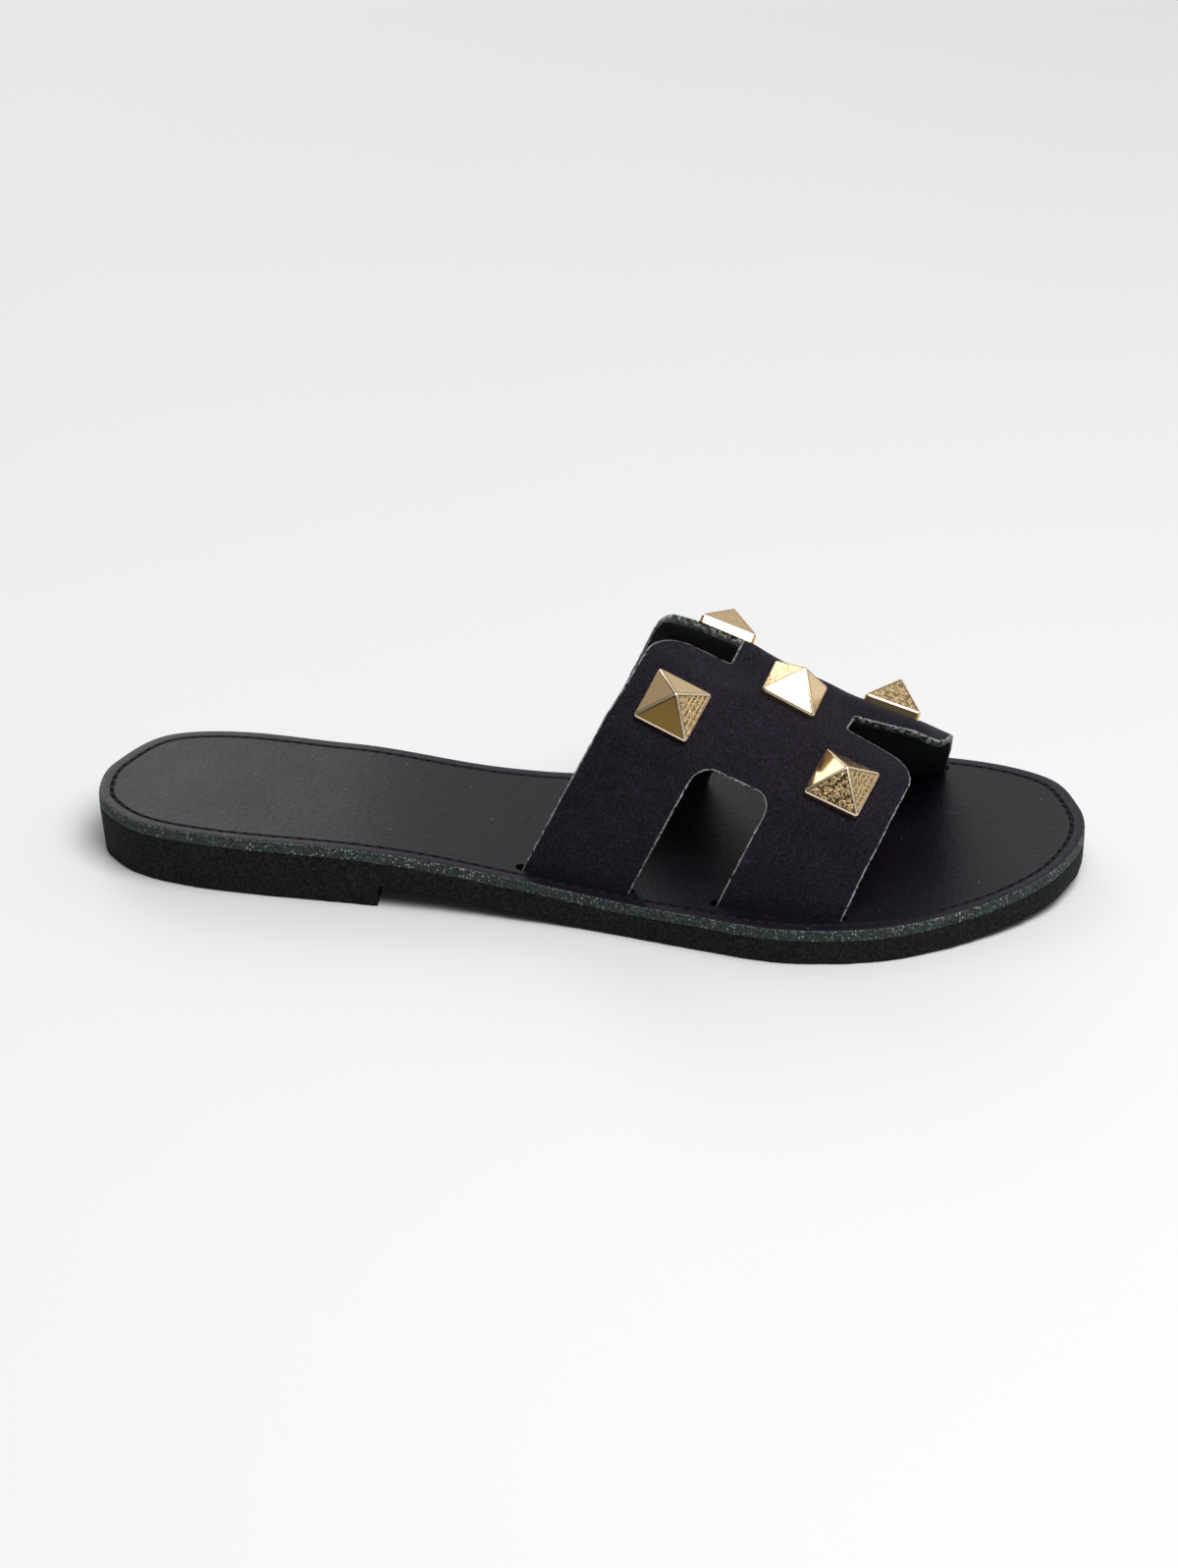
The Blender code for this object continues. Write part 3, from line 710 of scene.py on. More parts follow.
class Finish:
    """A material in the making: one Principled shader and the nodes that feed it."""

    def __init__(self, name):
        self.material = bpy.data.materials.new(name)
        self.material.use_nodes = True
        self.tree = self.material.node_tree
        self.shader = self.tree.nodes["Principled BSDF"]
        self.place = self.node("ShaderNodeTexCoord", output="Object")

    def node(self, kind, settings=None, sockets=None, output=0):
        """Add a node: its settings first, then the values or links of its sockets. Gives one output."""
        made = self.tree.nodes.new(kind)
        for name, value in (settings or {}).items():
            setattr(made, name, value)
        for name, value in (sockets or {}).items():
            if isinstance(value, Term):
                self.tree.links.new(value.socket, made.inputs[name])
            else:
                made.inputs[name].default_value = value
        return Term(self, made.outputs[output])

    def feed(self, **sockets):
        """Link or set the shader's sockets, named with underscores for spaces."""
        for name, value in sockets.items():
            socket = self.shader.inputs[name.replace("_", " ").title().replace("Ior", "IOR")]
            if isinstance(value, Term):
                self.tree.links.new(value.socket, socket)
            else:
                socket.default_value = value

    def attribute(self, name):
        return self.node("ShaderNodeAttribute", {"attribute_name": name}, output="Fac")

    def noise(self, grain, detail=2.0):
        """Soft noise whose features are about a grain across."""
        return self.node("ShaderNodeTexNoise", {}, {
            "Vector": self.place, "Scale": 1 / grain, "Detail": detail, "Roughness": 0.6})

    def cells(self, grain, feature="F1", output="Distance"):
        return self.node("ShaderNodeTexVoronoi", {"feature": feature},
                         {"Vector": self.place, "Scale": 1 / grain}, output)

    def step(self, value, low, high):
        """0 below low, 1 above high, smooth between; low may be the larger."""
        return self.node("ShaderNodeMapRange", {"interpolation_type": "SMOOTHSTEP"}, {
            "Value": value, "From Min": low, "From Max": high})

    def specks(self, spacing, size_share, kept):
        """Round specks in some of the cells of a spacing."""
        near = self.step(self.cells(spacing), size_share, size_share * 0.5)
        chosen = self.node("ShaderNodeSeparateColor", {}, {0: self.cells(spacing, output="Color")})
        return near * self.step(chosen, 1 - kept, 1 - kept + 0.02)

    def scratches(self, length, width_share, kept):
        """Thin wandering lines, in patches."""
        lines = self.step(abs(self.noise(length, 1.0) - 0.5), width_share, width_share * 0.4)
        return lines * self.step(self.noise(length * 0.6, 2.0), 1 - kept, 1.05 - kept)

    def mix(self, share, first, second):
        """Blend two colours."""
        first, second = ((*item, 1.0) if isinstance(item, tuple) else item for item in (first, second))
        return self.node("ShaderNodeMix", {"data_type": "RGBA"}, {0: share, 6: first, 7: second}, 2)

    def shades(self, share, tint, low, high):
        """A tint, from a low to a high shade of it."""
        return self.mix(share, shade_of(tint, low), shade_of(tint, high))

    def bump(self, height, distance, strength=1.0):
        return self.node("ShaderNodeBump", {}, {"Height": height, "Distance": distance, "Strength": strength})


def shade_of(tint, factor):
    return tuple(min(1.0, part * factor) for part in tint)


def rubber_finish(tints):
    finish = Finish("micro_rubber")
    fine = finish.noise(0.30 * MM, 3.0)
    crumb = finish.step(finish.noise(0.85 * MM, 3.0), 0.36, 0.66)
    pores = finish.specks(0.8 * MM, 0.30, 0.45)
    cloud = finish.noise(11 * MM, 3.0)
    dust = finish.specks(3.1 * MM, 0.05, 0.35)
    dark = finish.shades(cloud, tints.rubber, 0.25, 0.5)
    light = finish.shades(cloud, tints.rubber, 1.4, 2.4)
    tone = finish.mix(crumb, dark, light)
    finish.feed(base_color=finish.mix(dust * 0.5, tone, tuple(tints.dust)),
                roughness=0.66 + fine * 0.22, specular_ior_level=0.12,
                normal=finish.bump(crumb * 1.2 + fine * 0.7 - pores * 0.6, 0.12 * MM, 0.8))
    return finish.material


def leather_finish(tints):
    finish = Finish("insole_leather")
    cloud = finish.noise(16 * MM, 4.0)
    grain = finish.cells(0.9 * MM, "SMOOTH_F1")
    pebble = finish.noise(1.5 * MM, 2.0)
    fine = finish.noise(0.22 * MM, 2.0)
    scratches = finish.scratches(9 * MM, 0.006, 0.50)
    dust = finish.specks(3.4 * MM, 0.08, 0.22)
    lip = finish.step(finish.attribute("rim"), 3.9 * MM, 3.2 * MM)
    tone = finish.shades(cloud, tints.leather, 0.8, 1.2)
    tone = finish.mix(lip * 0.35, tone, shade_of(tints.leather, 3.0))
    tone = finish.mix(scratches * 0.25, tone, shade_of(tints.leather, 7.0))
    relief = pebble * 0.9 + grain * 0.4 + fine * 0.1 - scratches * 0.15
    finish.feed(base_color=finish.mix(dust * 0.7, tone, tuple(tints.dust)),
                roughness=0.30 + cloud * 0.14 + fine * 0.06, specular_ior_level=0.25,
                normal=finish.bump(relief, 0.12 * MM, 0.8))
    return finish.material


def insole_edge_finish(tints):
    """The cut edge of the insole: green-black board with fine pale grains."""
    finish = Finish("insole_raw_edge")
    grain = finish.step(finish.noise(0.55 * MM, 3.0), 0.40, 0.62)
    patch = finish.step(finish.noise(9 * MM, 2.0), 0.38, 0.66)
    specks = finish.specks(0.8 * MM, 0.46, 0.42)
    rim = finish.step(finish.attribute("rim"), 0.03 * MM, 0.16 * MM) * finish.step(grain, 0.2, 0.8)
    tone = finish.shades(grain, tints.raw_edge, 0.4, 3.2)
    tone = finish.mix(rim * 0.5, tone, tuple(tints.fibre))
    finish.feed(base_color=finish.mix(specks * (0.16 + patch * 0.6), tone, shade_of(tints.fibre, 1.35)),
                roughness=0.6 + grain * 0.25, specular_ior_level=0.3,
                normal=finish.bump(grain + specks * 0.5, 0.16 * MM, 0.9))
    return finish.material


def strap_edge_finish(tints):
    """The cut edge of the strap: dark crumbly fibre that glints, with pale crumbs, partly real fibre and
    partly painted glints growing brighter towards the top face, and a pale line at its rims.
    """
    finish = Finish("strap_raw_edge")
    crumb = finish.noise(1.3 * MM, 3.0)
    fibre = finish.noise(0.3 * MM, 3.0)
    specks = finish.specks(1.0 * MM, 0.40, 0.32)
    line = finish.step(finish.attribute("rim"), 0.05 * MM, 0.20 * MM)
    frayed_and_glints = finish.step(finish.noise(1.1 * MM, 3.0), 0.47, 0.60)
    # Share towards the top face, where the painted glints gather
    near_face = finish.step(finish.attribute("lift"), -0.7 * MM, 0.5 * MM)
    tone = finish.shades(crumb, tints.raw_edge, 0.2, 1.2)
    # Pale crumbs: partly real fibre, partly painted glints that grow brighter towards the top face
    tone = finish.mix((specks * 0.4 + frayed_and_glints) * (0.10 + near_face * 0.7), tone, shade_of(tints.fibre, 1.8))
    broken = finish.step(finish.noise(1.2 * MM, 2.0), 0.36, 0.58)
    finish.feed(base_color=finish.mix(line * broken, tone, shade_of(tints.fibre, 1.2)),
                roughness=0.24 + fibre * 0.3,
                normal=finish.bump(crumb + fibre * 0.25, 1.3 * MM, 1.0))
    return finish.material


def thread_finish(tints):
    finish = Finish("waxed_thread")
    twist = finish.noise(0.35 * MM, 2.0)
    finish.feed(base_color=finish.shades(twist, tints.thread, 0.6, 2.0),
                roughness=0.65 + twist * 0.2, specular_ior_level=0.2,
                normal=finish.bump(twist, 0.08 * MM, 0.7))
    return finish.material


def nubuck_finish(tints):
    finish = Finish("strap_nubuck")
    nap = finish.noise(0.28 * MM, 3.0)
    pile = finish.step(finish.noise(0.72 * MM, 3.0), 0.36, 0.66)
    cloud = finish.noise(13 * MM, 4.0)
    speckle = finish.specks(0.9 * MM, 0.34, 0.45)
    dust = finish.specks(5.0 * MM, 0.045, 0.45)
    scratches = finish.scratches(7 * MM, 0.006, 0.50)
    broken = finish.step(finish.noise(1.2 * MM, 2.0), 0.40, 0.62)
    worn = finish.step(finish.attribute("rim"), 0.55 * MM, 0.36 * MM) * broken
    dark = finish.shades(cloud, tints.nubuck, 0.40, 0.70)
    light = finish.shades(cloud, tints.nubuck, 1.2, 2.0)
    tone = finish.mix(pile, dark, light)
    tone = finish.mix(worn * 0.6, tone, shade_of(tints.fibre, 0.6))
    tone = finish.mix(speckle * 0.30 + scratches * 0.25, tone, shade_of(tints.nubuck, 6.0))
    finish.feed(base_color=finish.mix(dust * 0.6, tone, tuple(tints.dust)),
                roughness=0.80 + nap * 0.15, specular_ior_level=0.15,
                normal=finish.bump(nap + cloud * 0.4, 0.06 * MM, 0.6),
                sheen_weight=0.06, sheen_roughness=0.4)
    return finish.material


def suede_finish(tints):
    finish = Finish("strap_suede")
    nap = finish.noise(0.5 * MM, 4.0)
    finish.feed(base_color=finish.shades(nap, tints.suede, 0.5, 1.8), roughness=0.9 + nap * 0.08,
                normal=finish.bump(nap, 0.25 * MM, 0.9), sheen_weight=0.05, sheen_roughness=0.5)
    return finish.material


def gold_finish(tints):
    finish = Finish("stud_gold")
    pitted = finish.attribute("pitted")
    crumbs = finish.noise(1.1 * MM, 3.0)
    fine = finish.noise(0.4 * MM, 2.0)
    pits = finish.step(crumbs, 0.56, 0.46)
    worn = finish.attribute("worn")
    row_pitch = 0.95 * MM
    lines = finish.attribute("rise") * (1 / row_pitch)
    row = finish.step(abs(lines.fraction() - 0.5), 0.34, 0.20)
    pins = row * finish.step(finish.noise(0.55 * MM, 1.0), 0.52, 0.44) * finish.attribute("rows")
    # Painted shade: the marked face takes a darker gold, standing in for a dark reflection
    tone = finish.mix(finish.attribute("dim"), tuple(tints.gold), tuple(tints.dim_gold))
    tone = finish.mix(pits * pitted * 0.85, tone, shade_of(tints.gold, 0.08))
    tone = finish.mix(pins * 0.8, tone, shade_of(tints.gold, 0.12))
    tone = finish.mix(worn, tone, tuple(tints.worn_gold))
    # Painted shade: a dark line round each sloping face, beside the bright ridges
    tone = finish.mix(finish.attribute("line") * 0.8, tone, shade_of(tints.gold, 0.12))
    height = (crumbs * 1.6 + fine * 0.25 - pits * 0.4) * pitted - pins * 0.3
    finish.feed(base_color=tone, metallic=1.0,
                roughness=0.08 + pitted * (0.03 + fine * 0.10) + worn * 0.28,
                normal=finish.bump(height, 0.3 * MM, 1.0))
    return finish.material


def floor_finish(tint):
    finish = Finish("pale_floor")
    cloud = finish.noise(260 * MM, 3.0)
    finish.feed(base_color=finish.shades(cloud, tint, 0.985, 1.015),
                roughness=0.6 + cloud * 0.05, specular_ior_level=0.2)
    return finish.material


class SANDAL_OT_outsole(bpy.types.Operator):
    """Make the rubber outsole with its heel block, waist and toe spring"""
    bl_idname = "sandal.outsole"
    bl_label = "Outsole"

    def execute(self, context):
        settings = context.scene.sandal
        form = SandalForm(settings)
        sole = form.sole
        top_round = 0.25 * MM
        top_band = 0.3 * MM
        slice_length = 3.2 * MM
        layer_height = 1.6 * MM
        breast_lean = 0.02 * MM
        fillet_shares = (0.0, 0.02, 0.08, 0.2, 0.45, 0.7, 1.0)
        builder = slab([form.outline], 0, FLAT_SOLE)
        round_edges(builder, rim_edges(builder, 0), sole["bottom_round"], 3)
        round_edges(builder, rim_edges(builder, FLAT_SOLE), top_round, 2)
        half = sole["length"] / 2
        breast = sole["breast_station"] - form.middle.x
        fillet_places = [breast + sole["breast_fillet"] * share for share in fillet_shares]
        cut_across(builder, 0, steps_between(-half, half, slice_length) + fillet_places)
        cut_across(builder, 0, [breast - breast_lean])
        cut_across(builder, 2, steps_between(EDGE_BAND, FLAT_SOLE - top_band, layer_height))
        move_verts(builder, self.bent(form, vert_places(builder)))
        add_piece("outsole_rubber", builder, [rubber_finish(settings.finish)], ["outsole"])
        return {"FINISHED"}

    def bent(self, form, places):
        """Flat places carried to the sole's levels, with the side's lean and the moulding's small burrs."""
        burr_height = 2 * MM
        x, height = places[:, 0], places[:, 2]
        top, bottom = form.rubber_top(x) + SEAT_GAP - TOUCH, form.rubber_bottom(x)
        share = np.clip((height - EDGE_BAND) / (FLAT_SOLE - EDGE_BAND), 0, 1)
        level = bottom + np.minimum(height, EDGE_BAND) + share * (top - bottom - EDGE_BAND)
        outline = np.array([p[:] for p in form.outline])
        inward = np.array([p[:] for p in inward_normals(form.outline)])
        nearest = np.array([np.argmin(((outline - place[:2]) ** 2).sum(axis=1)) for place in places])
        low = smooth_step(1 - (level - bottom) / burr_height)
        burr = ripple(places, 1.7 * MM, 0.22 * MM) + ripple(places, 9 * MM, 0.25 * MM)
        shift = form.side_taper(x) * (top - level) + low * burr
        moved = places.copy()
        moved[:, :2] += inward[nearest] * shift[:, None]
        moved[:, 2] = level
        return moved


class SANDAL_OT_insole(bpy.types.Operator):
    """Make the slotted leather insole with its stitch groove"""
    bl_idname = "sandal.insole"
    bl_label = "Insole"

    def execute(self, context):
        settings = context.scene.sandal
        form = SandalForm(settings)
        sole = form.sole
        edge_round = 0.45 * MM
        base_round = 0.2 * MM
        groove_wall = 0.25 * MM
        margin = 0.8 * MM
        slice_length = 3 * MM
        builder = slab([form.outline], -sole["insole"], 0)
        round_edges(builder, rim_edges(builder, 0), edge_round, 3)
        round_edges(builder, rim_edges(builder, -sole["insole"]), base_round, 2)
        top = max((face for face in builder.faces if face.normal.z > 0.9), key=lambda face: face.calc_area())
        lip = sole["stitch_inset"] - sole["groove"] / 2 - edge_round
        depth = sole["groove_depth"]
        rings = ((lip - margin, 0), (margin, 0), (groove_wall, -depth),
                 (sole["groove"] - 2 * groove_wall, 0), (groove_wall, depth), (margin, 0))
        for width, sink in rings:
            bmesh.ops.inset_region(builder, faces=[top], thickness=width, depth=sink, use_even_offset=True,
                                   use_boundary=True)
        half = sole["length"] / 2
        cut_across(builder, 0, steps_between(-half, half, slice_length))
        builder = self.punched(builder, form.slots())
        places = vert_places(builder)
        layer = mark_verts(builder, "rim", loop_distance(places[:, :2], form.outline))
        builder.normal_update()
        for face in builder.faces:
            outer = all(vert[layer] < edge_round * 0.8 for vert in face.verts)
            face.material_index = 1 if outer and face.normal.z < 0.75 else 0
        places[:, 2] += form.insole_top(places[:, 0]) + ripple(places, 23 * MM, 0.12 * MM)
        move_verts(builder, places)
        materials = [leather_finish(settings.finish), insole_edge_finish(settings.finish)]
        add_piece("insole_leather", builder, materials, ["insole"])
        return {"FINISHED"}

    def punched(self, builder, slots):
        """The block with its slots cut through."""
        reach = 8 * MM
        block = mesh_object("insole_block", builder)
        punch = mesh_object("insole_punch", slab(slots, -reach, reach))
        cut = block.modifiers.new("slots", "BOOLEAN")
        cut.operation = "DIFFERENCE"
        cut.solver = "EXACT"
        cut.object = punch
        result = bpy.data.meshes.new_from_object(block.evaluated_get(bpy.context.evaluated_depsgraph_get()))
        builder = bmesh.new()
        builder.from_mesh(result)
        for thing in (block, punch):
            bpy.data.objects.remove(thing)
        bpy.data.meshes.remove(result)
        return builder


class SANDAL_OT_stitching(bpy.types.Operator):
    """Lay the waxed stitches in the insole's groove"""
    bl_idname = "sandal.stitching"
    bl_label = "Stitching"

    def execute(self, context):
        settings = context.scene.sandal
        form = SandalForm(settings)
        sole = form.sole
        inward = inward_normals(form.outline)
        path = [p + aside * sole["stitch_inset"] for p, aside in zip(form.outline, inward)]
        length = sum((p - path[index - 1]).length for index, p in enumerate(path))
        count = round(length / sole["stitch_pitch"])
        places = even_points(path, 2 * count)
        slots = form.slots()
        sunk_share = 0.9
        slant = Matrix.Rotation(math.radians(7), 4, "Z")
        grown = Matrix.Diagonal((sole["stitch_length"] / 2, sole["thread"] / 2, sole["thread"] / 2, 1))
        lying = grown @ Matrix.Rotation(math.pi / 2, 4, "Y")
        builder = bmesh.new()
        for index in range(0, 2 * count, 2):
            place = places[index]
            if any(inside(place, loop) for loop in slots):
                continue
            run = places[(index + 1) % len(places)] - places[index - 1]
            level = float(form.insole_top(place.x)) - sole["groove_depth"] * sunk_share
            slope = float(form.insole_top(place.x + run.x / 2) - form.insole_top(place.x - run.x / 2))
            along = Vector((run.x, run.y, slope)).normalized()
            aside = Vector((-along.y, along.x, 0)).normalized()
            turned = Matrix((along, aside, along.cross(aside))).transposed().to_4x4()
            matrix = Matrix.Translation((place.x, place.y, level)) @ turned @ slant @ lying
            bmesh.ops.create_uvsphere(builder, u_segments=8, v_segments=6, radius=1, matrix=matrix)
        add_piece("insole_stitches", builder, [thread_finish(settings.finish)], [], 180)
        return {"FINISHED"}


class SANDAL_OT_strap(bpy.types.Operator):
    """Cut the strap flat, edge it and bend it over the foot"""
    bl_idname = "sandal.strap"
    bl_label = "Strap"

    def execute(self, context):
        settings = context.scene.sandal
        form = SandalForm(settings)
        strap = form.strap
        half = strap["wall"] / 2
        loop = self.rounded(list(form.strap_corners()))
        builder = slab([loop], -half, half)
        edging = round_edges(builder, rim_edges(builder, half) + rim_edges(builder, -half),
                             strap["edge_round"], 3)
        for face in edging:
            face.material_index = 1
        for face in builder.faces:
            if abs(face.normal.z) < 0.5:
                face.material_index = 1
            elif face.normal.z < -0.99:
                face.material_index = 2
        low, high = (Vector([pick(p[axis] for p in loop) for axis in (0, 1)]) for pick in (min, max))
        for axis in (0, 1):
            cut_across(builder, axis, steps_between(low[axis], high[axis], strap["cell"]))
        cut_across(builder, 2, [-0.35 * MM, 0.35 * MM])
        self.bend(form, builder, loop)
        materials = [nubuck_finish(settings.finish), strap_edge_finish(settings.finish),
                     suede_finish(settings.finish)]
        add_piece("strap_leather", builder, materials, ["strap"], 50)
        return {"FINISHED"}

    def rounded(self, corners):
        """The pattern's outline, with vertex bevels at the corners that have a radius."""
        builder = bmesh.new()
        face = builder.faces.new([builder.verts.new((corner.x, corner.y, 0)) for corner, _ in corners])
        verts = list(face.verts)
        for index, (corner, radius) in enumerate(corners):
            if not radius:
                continue
            to_last = corners[index - 1][0] - corner
            to_next = corners[(index + 1) % len(corners)][0] - corner
            reach = radius / math.tan(to_last.angle(to_next) / 2)
            bmesh.ops.bevel(builder, geom=[verts[index]], offset=reach, offset_type="OFFSET",
                            segments=max(4, round(radius / (0.7 * MM))), profile=0.5, affect="VERTICES",
                            material=-1, clamp_overlap=False)
        builder.faces.ensure_lookup_table()
        outline = [vert.co.copy() for vert in builder.faces[0].verts]
        builder.free()
        return outline

    def bend(self, form, builder, loop):
        """Carry the flat leather to its place, a little rough at its cut edges."""
        places = vert_places(builder)
        across, along, height = places.T
        rim = loop_distance(places[:, :2], loop)
        mark_verts(builder, "rim", rim)
        mark_verts(builder, "lift", height)
        edge = smooth_step(1 - rim / (0.5 * MM))
        across = across + edge * ripple(places, 0.9 * MM, 0.20 * MM)
        along = along + edge * ripple(places + 1.0, 0.9 * MM, 0.20 * MM)
        wave = ripple(np.stack((across, along, 0 * along), axis=1), 17 * MM, 0.16 * MM)
        bent, _ = form.strap_point(across, along, height + wave)
        move_verts(builder, bent)


class SANDAL_OT_studs(bpy.types.Operator):
    """Set the pyramid studs on the strap"""
    bl_idname = "sandal.studs"
    bl_label = "Studs"

    def execute(self, context):
        settings = context.scene.sandal
        form = SandalForm(settings)
        gold = gold_finish(settings.finish)
        for seat, _, *axes in form.seats:
            builder = self.pyramid(settings.stud, STUD_CASTINGS[seat.name])
            self.seat(form, builder, seat, axes)
            add_piece(seat.name + "_gold", builder, [gold], [seat.name], 60)
        return {"FINISHED"}

    def pyramid(self, stud, casting):
        """A pyramid on an upright skirt, with rounded ridges: x over the strap, y towards the heel."""
        builder = bmesh.new()
        bmesh.ops.create_grid(builder, x_segments=1, y_segments=1, size=stud.side / 2)
        raise_faces(builder, builder.faces[:], stud.skirt)
        roof = [face for face in builder.faces if face.normal.z > 0.9]
        tip = bmesh.ops.poke(builder, faces=roof)["verts"][0]
        tip.co = (0, 0, stud.height)
        builder.normal_update()
        self.mark_pits(builder, casting)
        corners = [edge for edge in builder.edges if tip not in edge.verts
                   and abs(edge.verts[0].co.z - edge.verts[1].co.z) > stud.skirt / 2]
        round_edges(builder, corners, stud.corner_round, 3)
        tip = max(builder.verts, key=lambda vert: vert.co.z)
        self.rub(builder, round_edges(builder, tip.link_edges[:], stud.ridge_round, 2))
        builder.normal_update()
        eaves = [edge for edge in builder.edges if self.is_eave(edge, stud)]
        self.rub(builder, round_edges(builder, eaves, stud.bead_round, 3))
        self.outline_faces(builder)
        mark_verts(builder, "rise", vert_places(builder)[:, 2])
        return builder

    def outline_faces(self, builder):
        """Part a thin ring from each wide face; on the sloping ones the ring is marked for a painted shade
        line beside the ridges.
        """
        wide_area = (3 * MM) ** 2
        inner_share = 0.94
        layer = builder.faces.layers.float["line"]
        wide = [face for face in builder.faces if face.calc_area() > wide_area and face.normal.z > -0.5]
        for face in wide:
            ring = bmesh.ops.inset_individual(builder, faces=[face], thickness=TINY)["faces"]
            bmesh.ops.scale(builder, verts=face.verts, vec=[inner_share] * 3,
                            space=Matrix.Translation(-face.calc_center_median()))
            for side in ring:
                # Marks the ring for a painted shade line
                side[layer] = 1 if face.normal.z > 0.3 else 0

    def rub(self, builder, faces):
        """Mark rounded edges as worn, and free of pits."""
        layers = builder.faces.layers.float
        for face in faces:
            face[layers["worn"]] = 1
            face[layers["pitted"]] = 0
            face[layers["rows"]] = 0

    def mark_pits(self, builder, casting):
        """Make the face layers that the finish reads, mark how each sloping face was cast, and mark the
        lateral face that gets painted shade.
        """
        for name in ("pitted", "rows", "worn", "dim", "line"):
            builder.faces.layers.float.new(name)
        pitted, rows, dim = (builder.faces.layers.float[name] for name in ("pitted", "rows", "dim"))
        for face in builder.faces:
            if 0.1 < face.normal.z < 0.95:
                if abs(face.normal.x) < abs(face.normal.y):
                    if face.normal.y > 0:
                        face[pitted] = casting.rear
                    else:
                        face[pitted] = casting.front
                        face[rows] = casting.front_rows
                elif face.normal.x > 0:
                    face[pitted] = casting.medial
                else:
                    face[pitted] = casting.lateral
                    # Painted shade: marks the lateral face for a darker gold
                    face[dim] = casting.lateral_dim

    def is_eave(self, edge, stud):
        """True for the edges between the upright skirt and the sloping faces."""
        if len(edge.link_faces) != 2:
            return False
        rises = sorted(face.normal.z for face in edge.link_faces)
        level = all(abs(vert.co.z - stud.skirt) < 1 * MM for vert in edge.verts)
        return level and abs(rises[0]) < 0.1 and rises[1] > 0.3

    def seat(self, form, builder, seat, axes):
        """Carry a stud to its seat, with its foot following the strap."""
        half = form.strap["wall"] / 2
        over, back, up = axes
        centre = form.strap_point(np.array([seat.across]), np.array([seat.along]), half)[0][0]
        places = vert_places(builder)
        wanted = places[:, :2]
        across = seat.across + wanted[:, 0]
        along = seat.along + wanted[:, 1]
        for _ in range(4):
            floor, _ = form.strap_point(across, along, half + TOUCH)
            across = across + wanted[:, 0] - (floor - centre) @ over
            along = along + wanted[:, 1] - (floor - centre) @ back
        fall = (floor - centre) @ up
        share = np.clip(1 - places[:, 2] / (form.stud["skirt"] * 0.5), 0, 1)
        rise = places[:, 2] + share * fall
        move_verts(builder, centre + np.outer(places[:, 0], over) + np.outer(places[:, 1], back)
                   + np.outer(rise, up))


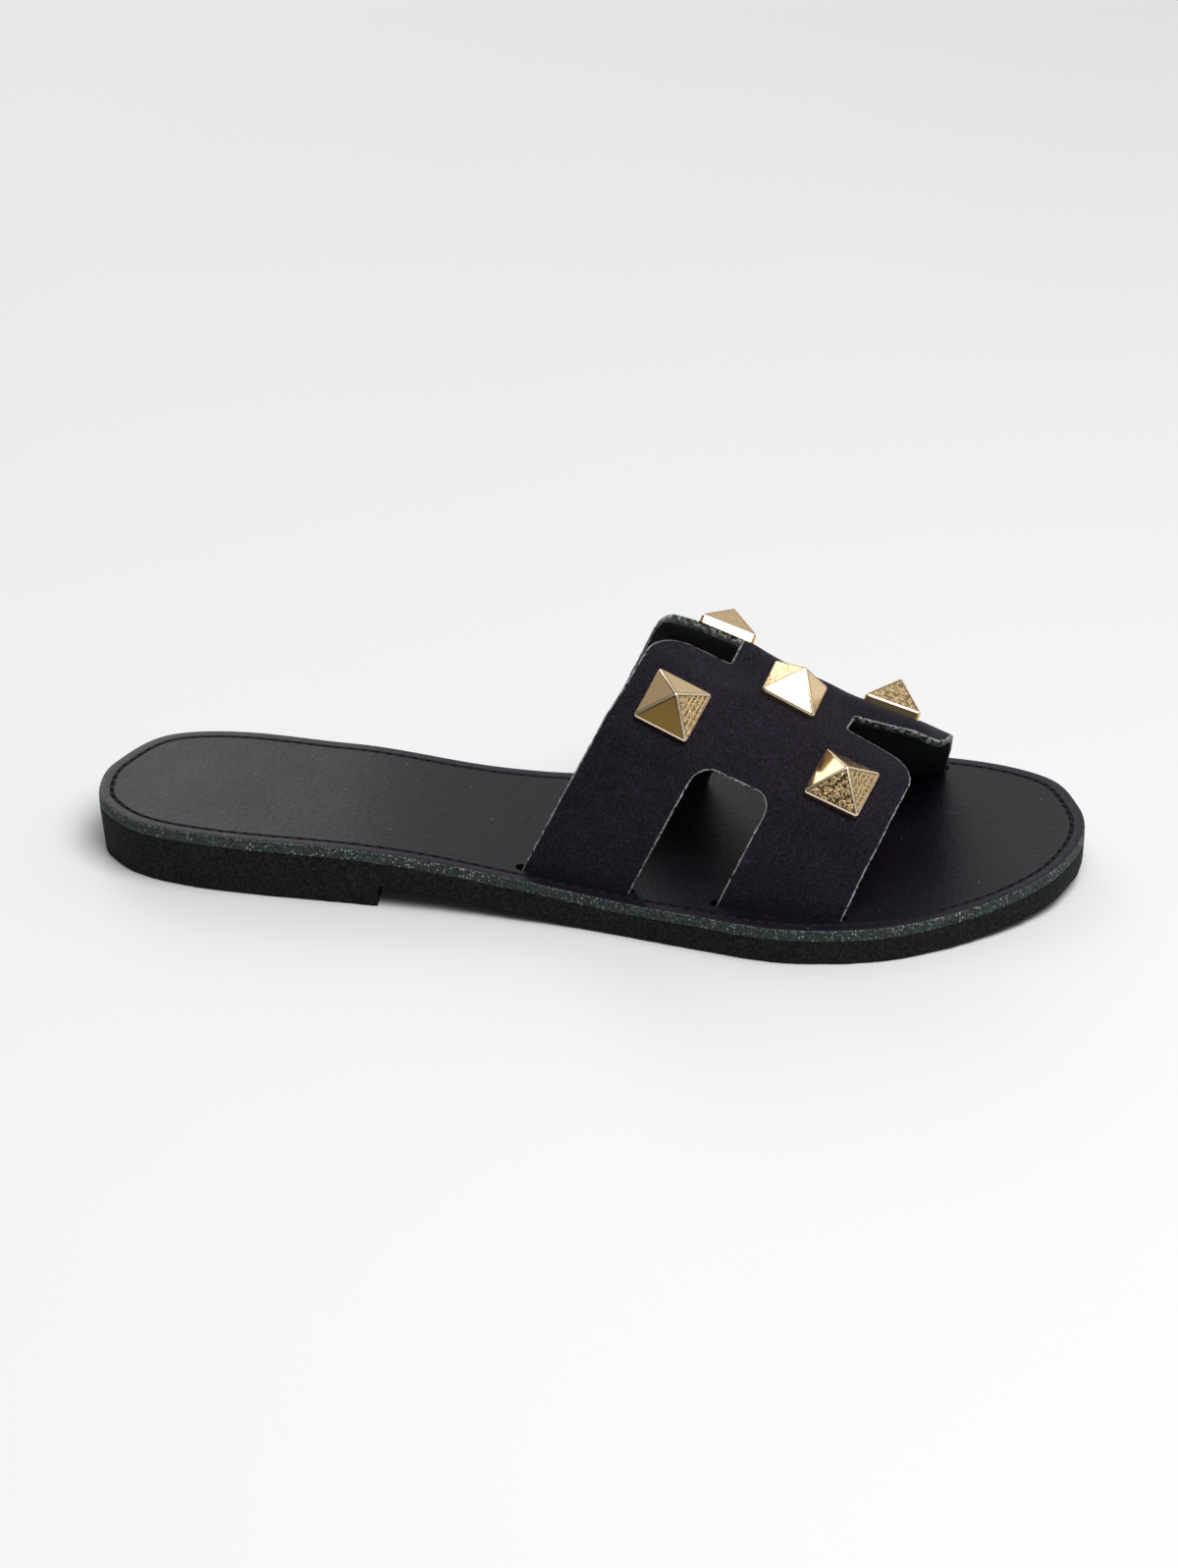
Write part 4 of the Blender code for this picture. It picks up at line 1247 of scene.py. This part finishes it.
class SANDAL_OT_stage(bpy.types.Operator):
    """Lay the floor, hang the softboxes and place the camera"""
    bl_idname = "sandal.stage"
    bl_label = "Stage"

    def execute(self, context):
        stage = context.scene.sandal.stage
        builder = bmesh.new()
        bmesh.ops.create_circle(builder, cap_ends=True, segments=96, radius=stage.floor_radius)
        floor = mesh_object("floor", builder)
        floor.data.materials.append(floor_finish(stage.floor))
        self.softbox("key_softbox", stage.key_place, stage.key_width, stage.key_power)
        self.softbox("back_softbox", stage.back_place, stage.back_width, stage.back_power)
        self.surround(context.scene, stage)
        self.camera(context.scene, stage)
        return {"FINISHED"}

    def softbox(self, name, place, width, power):
        light = bpy.data.lights.new(name, "AREA")
        light.size = width
        light.energy = power
        lamp = bpy.data.objects.new(name, light)
        lamp.location = place
        lamp.rotation_euler = (-Vector(place)).to_track_quat("-Z", "Y").to_euler()
        bpy.context.scene.collection.objects.link(lamp)

    def surround(self, scene, stage):
        """A soft room, dim on the camera's side and bright behind the shoe and its toe."""
        world = bpy.data.worlds.new("studio")
        world.use_nodes = True
        tree = world.node_tree
        place = tree.nodes.new("ShaderNodeTexCoord")
        towards = tree.nodes.new("ShaderNodeVectorMath")
        towards.operation = "DOT_PRODUCT"
        towards.inputs[1].default_value = stage.bright_side
        rise = tree.nodes.new("ShaderNodeMapRange")
        ranges = {"From Min": -1.0, "From Max": 1.0, "To Min": stage.room_dim, "To Max": stage.room_bright}
        for name, value in ranges.items():
            rise.inputs[name].default_value = value
        tree.links.new(place.outputs["Generated"], towards.inputs[0])
        tree.links.new(towards.outputs["Value"], rise.inputs["Value"])
        tree.links.new(rise.outputs[0], tree.nodes["Background"].inputs["Strength"])
        tree.nodes["Background"].inputs["Color"].default_value = (1.0, 1.0, 1.0, 1.0)
        scene.world = world
        scene.view_settings.view_transform = "Standard"

    def camera(self, scene, stage):
        camera = bpy.data.cameras.new("camera")
        camera.sensor_fit = "VERTICAL"
        camera.sensor_height = 36
        camera.lens = stage.lens
        camera.clip_end = 30
        holder = bpy.data.objects.new("camera", camera)
        holder.location = stage.camera
        holder.rotation_euler = (Vector(stage.aim) - Vector(stage.camera)).to_track_quat("-Z", "Y").to_euler()
        scene.collection.objects.link(holder)
        scene.camera = holder


class SANDAL_PT_pieces(bpy.types.Panel):
    """The sandal's pieces, in the order they are made"""
    bl_idname = "SANDAL_PT_pieces"
    bl_label = "Studded slide sandal"
    bl_space_type = "VIEW_3D"
    bl_region_type = "UI"
    bl_category = "Sandal"

    def draw(self, context):
        for operator in OPERATORS:
            self.layout.operator(operator.bl_idname)
        for group in ("sole", "strap", "stud", "finish", "stage"):
            box = self.layout.box()
            box.label(text=group.title())
            values = getattr(context.scene.sandal, group)
            for key in values.__annotations__:
                box.prop(values, key)


GROUPS = (SandalSole, SandalStrap, SandalStud, SandalFinish, SandalStage, SandalSettings)
OPERATORS = (SANDAL_OT_outsole, SANDAL_OT_insole, SANDAL_OT_stitching, SANDAL_OT_strap, SANDAL_OT_studs,
             SANDAL_OT_stage)


def register():
    for item in (*GROUPS, *OPERATORS, SANDAL_PT_pieces):
        bpy.utils.register_class(item)
    bpy.types.Scene.sandal = PointerProperty(type=SandalSettings)


def unregister():
    del bpy.types.Scene.sandal
    for item in reversed((*GROUPS, *OPERATORS, SANDAL_PT_pieces)):
        bpy.utils.unregister_class(item)


def main():
    register()
    bpy.ops.sandal.outsole()
    bpy.ops.sandal.insole()
    bpy.ops.sandal.stitching()
    bpy.ops.sandal.strap()
    bpy.ops.sandal.studs()
    bpy.ops.sandal.stage()


if __name__ == "__main__":
    main()
